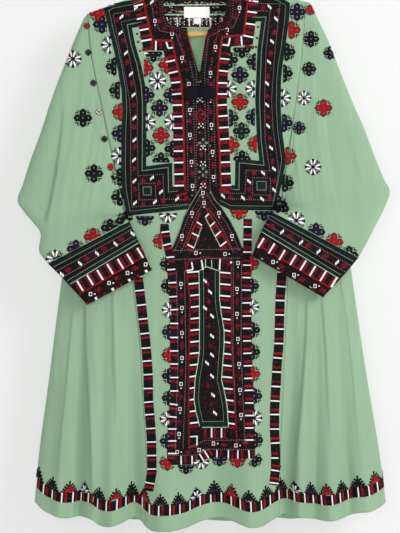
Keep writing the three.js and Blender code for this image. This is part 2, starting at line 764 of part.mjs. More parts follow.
function sleeveSections(table, edge, underarm, cuff, stepTable) {
  const sign = edge === 'left' ? -1 : 1;
  const last = table.length - 1;
  const parted = sign * SEAM_GAP * 2;
  const down = new THREE.Vector2(underarm.x - table[0].x, underarm.drop - table[0].drop).normalize();
  const seamEnd = {
    x: underarm.x - down.x * SLEEVE_ARC,
    drop: underarm.drop - down.y * SLEEVE_ARC,
  };
  return table.map((row, i) => {
    const late = THREE.MathUtils.smoothstep(i, last - 3, last);
    const pivotX = THREE.MathUtils.lerp(underarm.x, cuff.innerX, late);
    const pivotDrop = THREE.MathUtils.lerp(underarm.drop, cuff.innerDrop, late);
    const away = new THREE.Vector2(row.x - pivotX, row.drop - pivotDrop).normalize();
    const arc = SLEEVE_ARC * (1 - late);
    const bent = Math.max(0, 1 - i / 8);
    return {
      outerX: row.x + parted,
      outerDrop: row.drop,
      innerX: pivotX + away.x * arc + parted,
      innerDrop: pivotDrop + away.y * arc,
      forward: row.forward,
      half: row.half,
      round: THREE.MathUtils.lerp(0.03, 0.14, Math.min(1, i / 4)) * (1 - 0.5 * late),
      bend: (share) => {
        const drop = THREE.MathUtils.lerp(table[0].drop, seamEnd.drop, share);
        const straight = THREE.MathUtils.lerp(table[0].x, seamEnd.x, share);
        return bent * (read(SEAMS, drop, edge) - straight);
      },
      step: (x, drop) => {
        const inward = (x - read(stepTable, drop, 'x')) * -sign;
        return read(stepTable, drop, 'rise') * THREE.MathUtils.smoothstep(inward, -8, 8);
      },
    };
  });
}

function cuffSections(table) {
  return table.map((row) => ({
    ...row,
    forward: CUFF_FORWARD,
    half: CUFF_HALF_DEPTH,
    round: 0.07,
    bend: () => 0,
    step: () => 0,
  }));
}

function sleeve(edge, table, underarm, cuffTable, stepTable) {
  add('sleeve_' + edge, tube(sleeveSections(table, edge, underarm, cuffTable[0], stepTable)), GREEN);
  const along = new THREE.Vector2(
    cuffTable[1].outerX - cuffTable[0].outerX,
    cuffTable[1].outerDrop - cuffTable[0].outerDrop,
  ).normalize();
  const parted = cuffTable.map((row) => ({
    outerX: row.outerX + along.x * SEAM_GAP,
    outerDrop: row.outerDrop + SEAM_GAP,
    innerX: row.innerX + along.x * SEAM_GAP,
    innerDrop: row.innerDrop + SEAM_GAP,
  }));
  add('cuff_' + edge, tube(cuffSections(parted)), TRIM);
}
sleeve('left', LEFT_SLEEVE, LEFT_UNDERARM, LEFT_CUFF, LEFT_SLEEVE_STEP);
sleeve('right', RIGHT_SLEEVE, RIGHT_UNDERARM, RIGHT_CUFF, RIGHT_SLEEVE_STEP);

// Bow: two flat loops and a knot, in one solid
function bow() {
  const loop = (side) => {
    const geometry = new THREE.SphereGeometry(1, 14, 8);
    geometry.scale(BOW.halfWidth / 2, BOW.halfDepth, BOW.halfHeight);
    geometry.rotateY(side * 0.12);
    geometry.translate(side * BOW.halfWidth / 2, 0, side * 1.5);
    return solid(geometry);
  };
  const knot = new THREE.SphereGeometry(1, 12, 8);
  knot.scale(BOW.halfHeight * 0.8, BOW.halfDepth * 1.2, BOW.halfHeight * 0.8);
  const geometry = geometryOf(loop(-1).add(loop(1)).add(solid(knot)));
  const front = bodyDepth(-1, BOW.x, BOW.drop);
  geometry.translate(BOW.x, -front - BOW.lift, -BOW.drop);
  return geometry;
}
add('bow', bow(), NAVY, 0.6);

// Hanger, tilted as a whole about the hook's inside top
const hanger = new THREE.Group();
hanger.rotation.y = -HANGER_TILT;
group.add(hanger);

function armOutline() {
  const top = SHOULDER_APEX_DROP + CLOTH + ARM_CLEARANCE;
  const edge = (x) => top + Math.abs(x) * HANGER_SLOPE;
  const lugIn = LUG_X;
  const lugOut = LUG_X + LUG_WIDTH;
  const side = [
    { x: ARM_TOP_FLAT, drop: edge(ARM_TOP_FLAT) },
    { x: ARM_HALF_SPAN - 6, drop: edge(ARM_HALF_SPAN - 6) },
    { x: ARM_HALF_SPAN, drop: edge(ARM_HALF_SPAN) + 6 },
    { x: ARM_HALF_SPAN - 4, drop: edge(ARM_HALF_SPAN) + ARM_HEIGHT * 0.8 },
    { x: lugOut, drop: edge(lugOut) + ARM_HEIGHT },
    { x: lugOut, drop: BAR_DROP + 4 },
    { x: lugOut - 4, drop: BAR_DROP + 11 },
    { x: lugIn + 4, drop: BAR_DROP + 11 },
    { x: lugIn, drop: BAR_DROP + 7 },
    { x: lugIn, drop: edge(lugIn) + ARM_HEIGHT + 6 },
    { x: lugIn - 12, drop: edge(lugIn - 12) + ARM_HEIGHT },
    { x: 24, drop: edge(24) + ARM_HEIGHT },
  ];
  const mirrored = side.map((point) => ({ x: -point.x, drop: point.drop })).reverse();
  return [...side, ...mirrored];
}

function arms() {
  const bevel = 3;
  const shape = new THREE.Shape();
  const inset = armOutline();
  inset.forEach((point, i) => {
    if (i === 0) shape.moveTo(point.x, -point.drop);
    else shape.lineTo(point.x, -point.drop);
  });
  const geometry = new THREE.ExtrudeGeometry(shape, {
    depth: ARM_THICKNESS - 2 * bevel,
    bevelEnabled: true,
    bevelThickness: bevel,
    bevelSize: bevel,
    bevelOffset: -bevel,
    bevelSegments: 2,
  });
  geometry.rotateX(Math.PI / 2);
  geometry.translate(0, ARM_THICKNESS / 2 - bevel, 0);
  return geometry;
}

function bar() {
  const length = 2 * (LUG_X - SEAM_GAP);
  const geometry = new THREE.CylinderGeometry(BAR_RADIUS, BAR_RADIUS, length, 16);
  geometry.rotateZ(Math.PI / 2);
  geometry.translate(0, 0, -BAR_DROP);
  return geometry;
}

function hook() {
  const radius = HOOK_INNER_RADIUS + HOOK_WIRE_RADIUS;
  const foot = -(SHOULDER_APEX_DROP + CLOTH + ARM_CLEARANCE + ARM_TOP_FLAT * HANGER_SLOPE) + SEAM_GAP;
  const points = [
    new THREE.Vector3(0, 0, foot),
    new THREE.Vector3(0, 0, foot * 0.8),
    new THREE.Vector3(1, 0, foot * 0.65),
    new THREE.Vector3(8, 0, -HOOK_INNER_RADIUS - radius * 0.93),
  ];
  for (let turn = -45; turn <= 195; turn += 20) {
    const angle = THREE.MathUtils.degToRad(turn);
    points.push(new THREE.Vector3(
      radius * Math.cos(angle),
      0,
      -HOOK_INNER_RADIUS + radius * Math.sin(angle),
    ));
  }
  const shape = new THREE.Shape();
  shape.absarc(0, 0, HOOK_WIRE_RADIUS, 0, Math.PI * 2);
  return new THREE.ExtrudeGeometry(shape, {
    steps: 34,
    curveSegments: 4,
    extrudePath: new THREE.CatmullRomCurve3(points),
  });
}

for (const [name, geometry, colour, roughness, metalness] of [
  ['hanger_arms', arms(), WOOD, 0.45, 0],
  ['hanger_bar', bar(), WOOD, 0.45, 0],
  ['hanger_hook', hook(), STEEL, 0.3, 1],
]) {
  hanger.add(add(name, geometry, colour, roughness, metalness));
}

export default group;
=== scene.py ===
"""An embroidered dress on a wooden hanger, as an add-on that dresses the packed model."""
import math
import random

import bpy
import numpy as np
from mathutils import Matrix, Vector
from mathutils.bvhtree import BVHTree
from mathutils.geometry import delaunay_2d_cdt


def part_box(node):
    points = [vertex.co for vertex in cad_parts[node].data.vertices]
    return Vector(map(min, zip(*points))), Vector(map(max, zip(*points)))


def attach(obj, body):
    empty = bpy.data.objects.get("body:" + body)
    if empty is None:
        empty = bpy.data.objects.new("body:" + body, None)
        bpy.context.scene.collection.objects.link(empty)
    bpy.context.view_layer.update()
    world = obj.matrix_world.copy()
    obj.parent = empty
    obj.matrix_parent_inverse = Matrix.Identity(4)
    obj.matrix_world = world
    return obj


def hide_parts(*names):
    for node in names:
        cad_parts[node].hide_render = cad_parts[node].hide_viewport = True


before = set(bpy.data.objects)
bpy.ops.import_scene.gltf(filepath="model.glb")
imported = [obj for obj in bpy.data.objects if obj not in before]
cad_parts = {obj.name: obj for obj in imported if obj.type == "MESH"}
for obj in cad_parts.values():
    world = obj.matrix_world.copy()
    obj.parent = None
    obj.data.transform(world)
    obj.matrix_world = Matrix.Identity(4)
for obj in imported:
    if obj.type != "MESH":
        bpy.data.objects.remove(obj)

bl_info = {
    "name": "Embroidered Dress",
    "version": (1, 0, 0),
    "blender": (4, 5, 0),
    "location": "3D View > Sidebar > Dress",
    "description": "Builds an embroidered dress on a wooden hanger over its packed model",
    "category": "Add Mesh",
}

# Metres; the chart is the front seen from the camera, in units of 2.1 mm on the picture plane
MM = 0.001
UNIT = 0.0021
CHART_X = 201
CHART_Y = -65
PICTURE_PLANE = -0.016
EYE = Vector((-0.0021, -3.016, -0.69615))
LENS = 96.49
SENSOR = 36


def table(columns, *rows):
    """A table whose columns are read by name."""
    return dict(zip(columns.split(), np.array(rows, float).T))


def spots(text):
    """Chart points written as x,y pairs."""
    return [tuple(float(v) for v in pair.split(",")) for pair in text.split()]


# The dress's own sizes, in millimetres, as in the packed model
WAIST_DROP = 590
HEM_DROP = 1237
SHOULDER_APEX_DROP = 76
LEFT_SHOULDER_SLOPE = 0.36
RIGHT_SHOULDER_SLOPE = 0.279
HEM_RISE_AT_SIDES = 44
CLOTH_WALL = 1.5
ARM_CLEARANCE = 2
ARM_TOP_FLAT = 10
HANGER_SLOPE = 0.319
HANGER_TILT = 0.037
SIDE_TUCK = 8
SIDE_TOP_FALL = 42
SEAM_INSET = 0.6
SHELL = 1.0
NEAR = 0.15
SLEEVE_ARC = 4
CUFF_HALF_DEPTH = 9
CUFF_FORWARD = 40
BODY_DEPTH = table("drop half", (80, 14), (200, 14), (330, 15), (590, 18), (700, 23), (850, 31),
                   (1018, 40), (1243, 50))
OUTLINE = table("drop left right", (80, -360, 364), (590, -279, 303), (632, -284, 309),
                (766, -300, 326), (934, -321, 351), (1092, -342, 377), (1243, -355, 396))
SEAMS = table("drop left right", (136, -239, 219), (180, -238, 217), (240, -233, 213),
              (300, -222, 206), (360, -209, 198), (420, -196, 190), (480, -183, 181),
              (540, -169, 172), (590, -155, 168), (620, -151, 170), (724, -144, 181),
              (861, -128, 175), (976, -122, 170), (1060, -116, 166), (1144, -114, 164),
              (1243, -118, 161))
# Where the front's hem lies on the chart
HEM_LINE = table("x y", (34, 505), (36, 511), (50, 519), (64, 520), (82, 517), (92, 519),
                 (100, 525), (110, 526), (122, 523), (134, 519), (142, 522), (147, 527),
                 (165, 530), (185, 528), (200, 522), (213, 519), (225, 519), (240, 524),
                 (250, 526.5), (262, 525), (275, 518), (282, 515), (292, 516), (305, 518),
                 (325, 520.5), (340, 519), (359, 513), (377, 513), (385, 509), (389, 500))
BACK_HEM_WAVES = table("x rise", (-355, 0), (-290, 8), (-220, -3), (-120, 7), (-40, -6), (50, 8),
                       (130, -4), (220, 7), (300, -2), (396, 0))

FOLD_COLUMNS = "waist middle hem starts width depth"
FRONT_FOLDS = table(
    FOLD_COLUMNS,
    (-262, -284, -300, 640, 15, 15), (-244, -246, -258, 620, 10, -16),
    (-222, -224, -228, 600, 12, 10), (-188, -184, -186, 650, 20, 16),
    (-152, -146, -138, 760, 17, -14), (-96, -88, -76, 800, 32, 20), (-20, 10, 38, 800, 34, -10),
    (92, 98, 104, 800, 34, 18), (200, 192, 178, 640, 13, -14), (222, 215, 205, 610, 13, 9),
    (240, 240, 238, 610, 10, -9), (258, 266, 272, 640, 16, 17), (280, 296, 312, 620, 11, -13),
    (295, 320, 352, 620, 15, 14))
BACK_FOLDS = table(
    FOLD_COLUMNS,
    (-255, -280, -298, 630, 15, 13), (-232, -248, -262, 620, 11, -13),
    (-205, -210, -216, 610, 14, 13), (-178, -170, -172, 640, 12, -11),
    (-90, -104, -112, 700, 32, 19), (-30, -26, -34, 780, 26, -14), (40, 46, 44, 740, 30, 17),
    (112, 116, 124, 720, 24, -13), (204, 206, 214, 620, 18, 14), (236, 246, 258, 610, 11, -12),
    (262, 284, 306, 620, 16, 15))

# Creases in the cloth: chart points from end to end, half width in chart units, depth in mm
LAPPED = True
LAP_EDGE = 0.35
FRONT_CREASES = (
    ("74,262 74,300 70,340 67,380 62,430 56,505", 10, 10, LAPPED),
    ("85.5,262 85.5,310 85.5,340 88,390 91,440 94,515", 12, 17, LAPPED),
    ("111,262 112.5,290 114,340 116,390 117,440", 9, 6.0, LAPPED),
    ("307.5,270 305,340 302,380 297,430 290,510", 10, 12, LAPPED),
    ("320,275 325,350 327,400 330,450", 8, 8, LAPPED),
    ("338,265 347,320 350,350 353,380 358,450", 8, 10, LAPPED),
    ("74,293 70,340 67,380 62,430 58,470", 2.2, 2.2), ("66,288 62,330 57,380 51,430", 1.8, -1.4),
    ("84,303 85,340 87,390 90,440 92,480", 1.7, -3.0), ("91,300 93,330 97,375 100,420", 2.4, 1.6),
    ("104,292 105,320 108,350", 1.5, -1.3), ("112,290 114,340 116,390 117,430", 2.6, 1.5),
    ("122,286 122,310 124,335", 1.6, -1.1), ("79,300 79,320 80,345", 1.3, 1.4),
    ("97,292 98,310 99,330", 1.2, 1.2), ("70,292 68,312 66,335", 1.2, -1.2),
    ("290,288 289,320 287,360 285,400", 2.2, -1.3), ("298,293 297,320 294,360", 1.5, 1.4),
    ("308,293 305,340 302,380 297,430 292,470", 2.0, -2.6),
    ("314,295 314,330 313,370 311,420", 2.2, 1.8), ("320,297 325,350 327,400", 1.7, -1.8),
    ("328,293 330,320 333,350", 1.4, 1.4), ("337,285 338,360 340,400", 2.0, -1.8),
    ("341,280 347,320 350,350 353,380 356,430", 2.0, 2.4), ("347,275 354,320 360,370", 1.5, -1.5),
    ("150,300 153,360 156,420 158,500", 4.0, 1.5), ("262,300 262,370 266,440 268,500", 4.5, 1.6),
    ("60,440 57,480 55,512", 3.0, 2.2), ("120,450 121,480 122,515", 3.2, -2.6),
    ("215,470 214,495 213,518", 4.0, -2.4), ("300,460 297,490 295,514", 3.6, 2.6),
    ("345,440 350,480 354,508", 3.4, -2.6), ("370,440 375,480 378,508", 3.0, 2.0),
    ("98,90 104,118 109,140 112,165", 2.2, 1.1), ("110,60 113,80 112,100", 2.4, -0.7),
    ("290,70 289,100 287,130", 2.2, 0.9),
)
BACK_CREASES = (
    ("72,272 70,340 64,420 58,505", 9, 9, LAPPED), ("98,268 97,340 99,420 102,512", 11, 13, LAPPED),
    ("121,270 122,340 120,410", 8, 5, LAPPED), ("300,266 304,340 309,420 315,508", 10, 13, LAPPED),
    ("327,268 333,340 340,420 347,500", 9, 9, LAPPED), ("343,270 350,330 358,400", 8, 6, LAPPED),
    ("182,240 176,340 172,440 169,514", 14, 10, LAPPED), ("226,230 232,340 236,440 239,514", 14, 10, LAPPED),
    ("160,200 152,300 148,420", 12, 6, LAPPED), ("205,110 208,160 204,230", 9, 4, LAPPED),
    ("66,290 60,350 54,420", 2.0, 2.0), ("78,292 75,350 71,430 68,480", 1.9, -2.4),
    ("92,290 92,340 94,400", 1.7, 1.8), ("104,292 106,340 110,420", 2.0, -1.6),
    ("118,290 117,350 118,430", 2.4, 1.8), ("296,292 298,350 302,430", 2.2, 2.0),
    ("308,290 310,340 315,400", 1.7, -2.0), ("322,292 327,350 333,430", 2.0, 2.2),
    ("336,288 342,340 348,400", 1.6, -1.8), ("346,284 354,340 362,420", 1.8, 2.0),
    ("150,60 170,90 175,130", 5.0, 1.6), ("252,60 236,90 232,130", 5.0, 1.5),
    ("196,200 190,300 186,400", 5.0, 1.8), ("230,260 236,360 240,470", 5.0, -2.0),
    ("160,300 154,400 150,500", 4.4, 1.8), ("120,150 135,180 150,200", 4.0, 1.1),
    ("285,140 270,175 255,200", 4.0, 1.1),
)
LEFT_SLEEVE_CREASES = (
    ("64,79 61,130 56,170 50,205 44,230", 1.2, -2.0), ("86,60 80,110 70,160 60,215", 3.0, 1.6),
    ("96,90 92,130 84,180 72,225", 2.6, -1.6), ("103,120 100,150 94,190 88,222", 2.0, 1.5),
    ("112,170 108,190 103,212", 1.6, -1.3), ("118,196 114,208 110,222", 1.4, 1.2),
    ("50,130 42,160 34,190", 2.4, 1.2), ("75,35 66,80 58,110", 2.6, -0.9),
    ("36,200 44,214 52,236", 1.8, -1.3),
)
RIGHT_SLEEVE_CREASES = (
    ("326,130 333,180 338,215 342,241", 1.2, -2.0), ("312,70 316,120 322,170 328,225", 3.0, 1.6),
    ("303,100 306,140 311,185 315,222", 2.6, -1.6), ("294,135 297,160 301,195 304,215", 2.0, 1.5),
    ("288,165 290,185 292,205", 1.6, -1.3), ("282,192 284,200 286,208", 1.4, 1.1),
    ("345,110 354,150 364,185", 2.4, 1.2), ("322,40 332,75 340,105", 2.6, -0.9),
    ("376,196 366,214 356,236", 1.8, -1.3),
)
# Creases behind the sleeves follow the same cloth, a little to one side
BACK_SLEEVE_SHIFT = 5

# Sleeves: the outer end of each section, how far it comes forward and half its depth
SLEEVE_COLUMNS = "x drop forward half"
SLEEVES = {
    "left": table(
        SLEEVE_COLUMNS,
        (-238, 162, 0, 12), (-248, 176, 0, 12), (-263, 210, 0, 13), (-280, 252, 0, 13),
        (-302, 308, 1, 14), (-320, 359, 2, 15), (-337, 412, 3, 15), (-359, 472, 4, 15),
        (-374, 520, 5, 14), (-386, 557, 7, 13), (-370, 583, 13, 12), (-350, 606, 20, 11),
        (-335, 628, 29, 10), (-337, 664, 37, 9.5), (-318, 691, 40, 9)),
    "right": table(
        SLEEVE_COLUMNS,
        (218, 137, 0, 12), (230, 142, 0, 12), (244, 171, 0, 13), (266, 216, 0, 13),
        (285, 265, 1, 14), (302, 308, 1, 15), (322, 357, 2, 15), (343, 404, 3, 15),
        (366, 465, 4, 14), (385, 512, 5, 13), (397, 538, 9, 12), (386, 570, 16, 11),
        (367, 606, 26, 10), (347, 643, 36, 9.5), (327, 679, 40, 9)),
}
SLEEVE_STEPS = {
    "left": table("drop x rise", (300, -288, 0), (410, -294, 4), (494, -304, 8), (567, -317, 8),
                  (630, -334, 2)),
    "right": table("drop x rise", (330, 252, 0), (410, 262, 3), (514, 277, 6), (588, 288, 5),
                   (650, 297, 1)),
}
UNDERARM = {"left": (-155, 588), "right": (169, 572)}
CUFF_COLUMNS = "outer_x outer_drop inner_x inner_drop"
CUFFS = {
    "left": table(CUFF_COLUMNS, (-318, 691, -149, 603), (-290, 719, -137, 629),
                  (-264, 747, -122, 660), (-237, 776, -103, 704)),
    "right": table(CUFF_COLUMNS, (327, 679, 149, 584), (303, 708, 134, 605),
                   (279, 734, 119, 638), (254, 760, 107, 674)),
}
SLEEVE_CREASES = {"left": LEFT_SLEEVE_CREASES, "right": RIGHT_SLEEVE_CREASES}

# Neck, on the chart
FRONT_NECK = spots("162,-22 163,0 165,15 169,24 178,27 187,28 188,35 198.3,71.5 200,71.5 205,40 208,30 "
                   "212,27 222,22 225,14 226,0 228,-22")
BACK_NECK = spots("162,-46 163.5,-15.5 172,-11 186,-8 201,-8 216,-11.5 226,-18 228,-46")


def smooth(rows, key, column):
    """A smooth reading of a column by another one, as a function."""
    at, values = rows[key], rows[column]
    slopes = np.gradient(values, at)

    def read(where):
        where = np.clip(where, at[0], at[-1])
        i = np.clip(np.searchsorted(at, where) - 1, 0, len(at) - 2)
        width = at[i + 1] - at[i]
        t = (where - at[i]) / width
        start = (1 + 2 * t) * (1 - t) ** 2 * values[i] + t * (1 - t) ** 2 * width * slopes[i]
        end = t * t * (3 - 2 * t) * values[i + 1] + t * t * (t - 1) * width * slopes[i + 1]
        return start + end

    return read


def smoothstep(value, low, high):
    t = np.clip((value - low) / (high - low), 0, 1)
    return t * t * (3 - 2 * t)


half_at = smooth(BODY_DEPTH, "drop", "half")
edge_at = {"left": smooth(OUTLINE, "drop", "left"), "right": smooth(OUTLINE, "drop", "right")}
seam_at = {"left": smooth(SEAMS, "drop", "left"), "right": smooth(SEAMS, "drop", "right")}
hem_line = smooth(HEM_LINE, "x", "y")
back_hem = smooth(BACK_HEM_WAVES, "x", "rise")


def to_chart(x, drop):
    """Millimetres on the picture plane to chart units."""
    return x * MM / UNIT + CHART_X, drop * MM / UNIT + CHART_Y


def shoulder_drop(x):
    slope = np.where(x < 0, LEFT_SHOULDER_SLOPE, RIGHT_SHOULDER_SLOPE)
    return SHOULDER_APEX_DROP + np.abs(x) * slope


def across(x, drop):
    """Where x lies between the middle, 0, and the side outline, 1 or -1."""
    left, right = edge_at["left"](drop), edge_at["right"](drop)
    middle = (left + right) / 2
    return np.clip((x - middle) / ((right - left) / 2), -1, 1)


def x_across(share, drop):
    """The x that lies at a share between the middle and the side outline."""
    left, right = edge_at["left"](drop), edge_at["right"](drop)
    return (left + right) / 2 + (right - left) / 2 * share


def fold_depth(folds, x, drop):
    middle_drop = (WAIST_DROP + HEM_DROP) / 2
    total = np.zeros(np.broadcast(x, drop).shape)
    for waist, middle, hem, starts, width, depth in zip(*folds.values()):
        line = np.interp(drop, [WAIST_DROP, middle_drop, HEM_DROP], [waist, middle, hem])
        grown = smoothstep(drop, starts, HEM_DROP + 120)
        total = total + depth * grown * 1.25 * np.exp(-(((x - line) / width) ** 2))
    return total


def crease_depth(creases, x, y, shift=0):
    """How far hand-placed creases lift the cloth, in millimetres, at chart points.

    A soft crease is a ridge or a valley. A lapped one steps up beside its path and dies away."""
    total = np.zeros(np.broadcast(x, y).shape)
    for text, width, depth, *lapped in creases:
        path = np.array(spots(text)) + (shift, 0)
        nearest = np.full(total.shape, 1e9)
        along = np.zeros(total.shape)
        side = np.zeros(total.shape)
        lengths = np.hypot(*np.diff(path, axis=0).T)
        starts = np.concatenate([[0], np.cumsum(lengths)])
        for a, b, length, start in zip(path[:-1], path[1:], lengths, starts):
            way = (b - a) / length
            t = np.clip((x - a[0]) * way[0] + (y - a[1]) * way[1], 0, length)
            dx, dy = x - a[0] - t * way[0], y - a[1] - t * way[1]
            away = np.hypot(dx, dy)
            closer = away < nearest
            nearest = np.where(closer, away, nearest)
            along = np.where(closer, (start + t) / starts[-1], along)
            side = np.where(closer, dx * way[1] - dy * way[0], side)
        ends = np.sqrt(np.clip(np.sin(np.pi * along), 0, 1))
        if lapped:
            rise = np.exp(-np.maximum(side, 0) / width) / (1 + np.exp(-side / LAP_EDGE))
            total = total + depth * ends * rise * (nearest < width * 6)
        else:
            total = total + depth * ends * np.exp(-((nearest / width) ** 2))
    return total


def body_depth(side, x, drop):
    w = across(x, drop)
    folds = FRONT_FOLDS if side < 0 else BACK_FOLDS
    creases = FRONT_CREASES if side < 0 else BACK_CREASES
    waves = fold_depth(folds, x, drop) + crease_depth(creases, *to_chart(x, drop))
    return half_at(drop) * np.maximum(0, 1 - w * w) ** 0.4 + waves * (1 - w ** 4)


def body_point(side, x, drop, share=1.0):
    depth = np.maximum(body_depth(side, x, drop) * share, NEAR)
    return np.stack([x, side * depth, -drop], -1)


def hem_drop(side, x):
    w = np.abs(across(x, HEM_DROP))
    plain = HEM_DROP - HEM_RISE_AT_SIDES * w ** 3
    if side > 0:
        return plain + back_hem(x) * (1 - w ** 6)
    depth = half_at(HEM_DROP) * np.maximum(0, 1 - w * w) ** 0.4
    nearer = (-EYE.y / MM - depth) / ((PICTURE_PLANE - EYE.y) / MM)
    seen = hem_line(to_chart(x, 0)[0]) * UNIT / MM - CHART_Y * UNIT / MM
    line = (seen + EYE.z / MM) * nearer - EYE.z / MM
    return plain + (line - plain) * (1 - w ** 6)


def rounded(distance, reach):
    """The share of a sheet's depth near its folded edge."""
    return np.sqrt(1 - (1 - np.clip(distance / reach, 0, 1)) ** 2)


def outward_normals(grid, at, axis, sign):
    """Normals of a grid, turned so that the one at a place points to a side."""
    normals = np.cross(np.gradient(grid, axis=1), np.gradient(grid, axis=0))
    normals = normals / np.maximum(np.linalg.norm(normals, axis=2, keepdims=True), 1e-9)
    return normals * np.where(normals[at][axis] * sign < 0, -1, 1)


def make_mesh(name, points, faces):
    mesh = bpy.data.meshes.new(name)
    mesh.from_pydata([tuple(p) for p in points], [], [tuple(f) for f in faces])
    mesh.update()
    obj = bpy.data.objects.new(name, mesh)
    bpy.context.collection.objects.link(obj)
    return obj


def grid_faces(rows, columns, ringed):
    cells = columns if ringed else columns - 1
    r, c = np.meshgrid(np.arange(rows - 1), np.arange(cells), indexing="ij")
    after = (c + 1) % columns
    corners = [r * columns + c, r * columns + after, (r + 1) * columns + after, (r + 1) * columns + c]
    return np.stack(corners, -1).reshape(-1, 4)


def shell(name, outer, inner, ringed=False):
    """A closed thin wall between two grids of points."""
    rows, columns = outer.shape[:2]
    count = rows * columns
    faces = grid_faces(rows, columns, ringed)
    parts = [faces, faces[:, ::-1] + count]
    cells = columns if ringed else columns - 1
    c = np.arange(cells)
    after = (c + 1) % columns
    last = (rows - 1) * columns
    parts.append(np.stack([after, c, c + count, after + count], -1))
    parts.append(np.stack([last + c, last + after, last + after + count, last + c + count], -1))
    if not ringed:
        r = np.arange(rows - 1) * columns
        end = columns - 1
        parts.append(np.stack([r, r + columns, r + columns + count, r + count], -1))
        parts.append(np.stack([r + columns + end, r + end, r + end + count,
                               r + columns + end + count], -1))
    points = np.concatenate([outer.reshape(-1, 3), inner.reshape(-1, 3)]) * MM
    made = make_mesh(name, points, np.concatenate(parts))
    made.data.calc_loop_triangles()
    tris = np.empty(len(made.data.loop_triangles) * 3, np.int32)
    made.data.loop_triangles.foreach_get("vertices", tris)
    a, b, c = (points[tris[i::3]] for i in range(3))
    volume = np.einsum("ij,ij->i", a, np.cross(b, c)).sum()
    if volume < 0:
        made.data.flip_normals()
    made.data.shade_smooth()
    return made


def inner_grid(outer, normals, side):
    """The inside face, kept on its own side, -1 or 1, of the middle; 0 leaves it free."""
    inner = outer - normals * SHELL
    held = np.maximum(inner[..., 1] * side, NEAR)
    inner[..., 1] = np.where(side == 0, inner[..., 1], held * side)
    return inner


def tree_of(*grids):
    """A search tree over grids of points in millimetres, given as (grid, ringed)."""
    points, faces, count = [], [], 0
    for grid, ringed in grids:
        rows, columns = grid.shape[:2]
        points.extend((grid.reshape(-1, 3) * MM).tolist())
        faces.extend((grid_faces(rows, columns, ringed) + count).tolist())
        count += rows * columns
    return BVHTree.FromPolygons(points, faces)


# Grids of the outside faces and the search trees over them, built once
GRIDS = {}
TREES = {}
FRONT = ("front", "side_left", "side_right")


def panel_grid(side, columns, rows):
    f = np.linspace(0, 1, columns)[None, :]
    top = shoulder_drop(seam_at["left"](136) * (1 - f) + seam_at["right"](136) * f)
    edge = np.array([0, 1, 2, 3.5, 5.5, 8])[:, None]
    chest = top + 9 + (WAIST_DROP - top - 9) * np.linspace(0, 1, int(rows * 0.42))[:, None]
    hem_x = seam_at["left"](HEM_DROP) * (1 - f) + seam_at["right"](HEM_DROP) * f
    hem = hem_drop(side, hem_x)
    skirt = WAIST_DROP + (hem - WAIST_DROP) * np.linspace(0, 1, int(rows * 0.58))[1:, None]
    drop = np.concatenate([top + edge, chest, skirt + 0 * f])
    x = seam_at["left"](drop) * (1 - f) + seam_at["right"](drop) * f
    return body_point(side, x, drop, rounded(drop - top, 9))


def side_grid(edge, columns, rows):
    """A gathered side panel, from the front seam round the side to the back seam."""
    turns = np.linspace(0, 1, columns)
    halves = []
    for side in (-1, 1):
        turn = (turns if side < 0 else turns[::-1][1:])[None, :]

        def x_at(drop):
            middle = (edge_at["left"](drop) + edge_at["right"](drop)) / 2
            end = edge_at[edge](drop)
            start = np.arcsin((seam_at[edge](drop) - middle) / (end - middle))
            return middle + (end - middle) * np.sin(start + (np.pi / 2 - start) * turn)

        hem = hem_drop(side, x_at(np.full((1, 1), float(HEM_DROP))))
        t = np.linspace(0, 1, rows)[:, None] ** 1.06
        top = WAIST_DROP - SIDE_TUCK
        drop = top + (hem - top) * t
        fade = np.interp(drop, [602, 620, 656, 702, 756, 816], [1, 0.8, 0.5, 0.25, 0.1, 0])
        moved = drop + SIDE_TOP_FALL * turn ** 0.7 * fade
        halves.append(body_point(side, x_at(drop), moved, rounded(drop - top, 14)))
    grid = np.concatenate(halves, 1)
    grid[:, [0, -1], 0] += -SEAM_INSET if edge == "left" else SEAM_INSET
    return grid


def ring_grid(sections, around, inset=0.0, creases=(), step=None, bend=None):
    """Flat rings: each section runs from an outer end to an inner end, in front and behind."""
    outer_end, inner_end = 0.14, 0.04
    first = (1 - np.cos(np.linspace(0, np.pi / 2, 7)[:-1])) * outer_end
    last = 1 - inner_end * (1 - np.cos(np.linspace(np.pi / 2, 0, 6)))
    t = np.concatenate([first, np.linspace(outer_end, 1 - inner_end, around)[1:-1], last])[None, :]
    s = {name: column[:, None] for name, column in sections.items()}
    length = np.hypot(s["outer_x"] - s["inner_x"], s["outer_drop"] - s["inner_drop"])
    share = inset / length + t * (1 - 2 * inset / length)
    x = s["outer_x"] + (s["inner_x"] - s["outer_x"]) * share + (bend(share) if bend else 0)
    drop = s["outer_drop"] + (s["inner_drop"] - s["outer_drop"]) * share
    from_end = np.clip(np.minimum(t / s["round"], (1 - t) / s["round"]), 0, 1)
    depth = (s["half"] - inset) * np.sqrt(1 - (1 - from_end) ** 2)
    lifted = from_end * crease_depth(creases, *to_chart(x, drop))
    behind = from_end * crease_depth(creases, *to_chart(x, drop), shift=BACK_SLEEVE_SHIFT)
    risen = step(x, drop) * from_end if step else 0
    front = np.stack([x, -s["forward"] - depth - lifted - risen, -drop], -1)
    back = np.stack([x, -s["forward"] + depth + behind, -drop], -1)
    return np.concatenate([front, back[:, -2:0:-1]], 1)


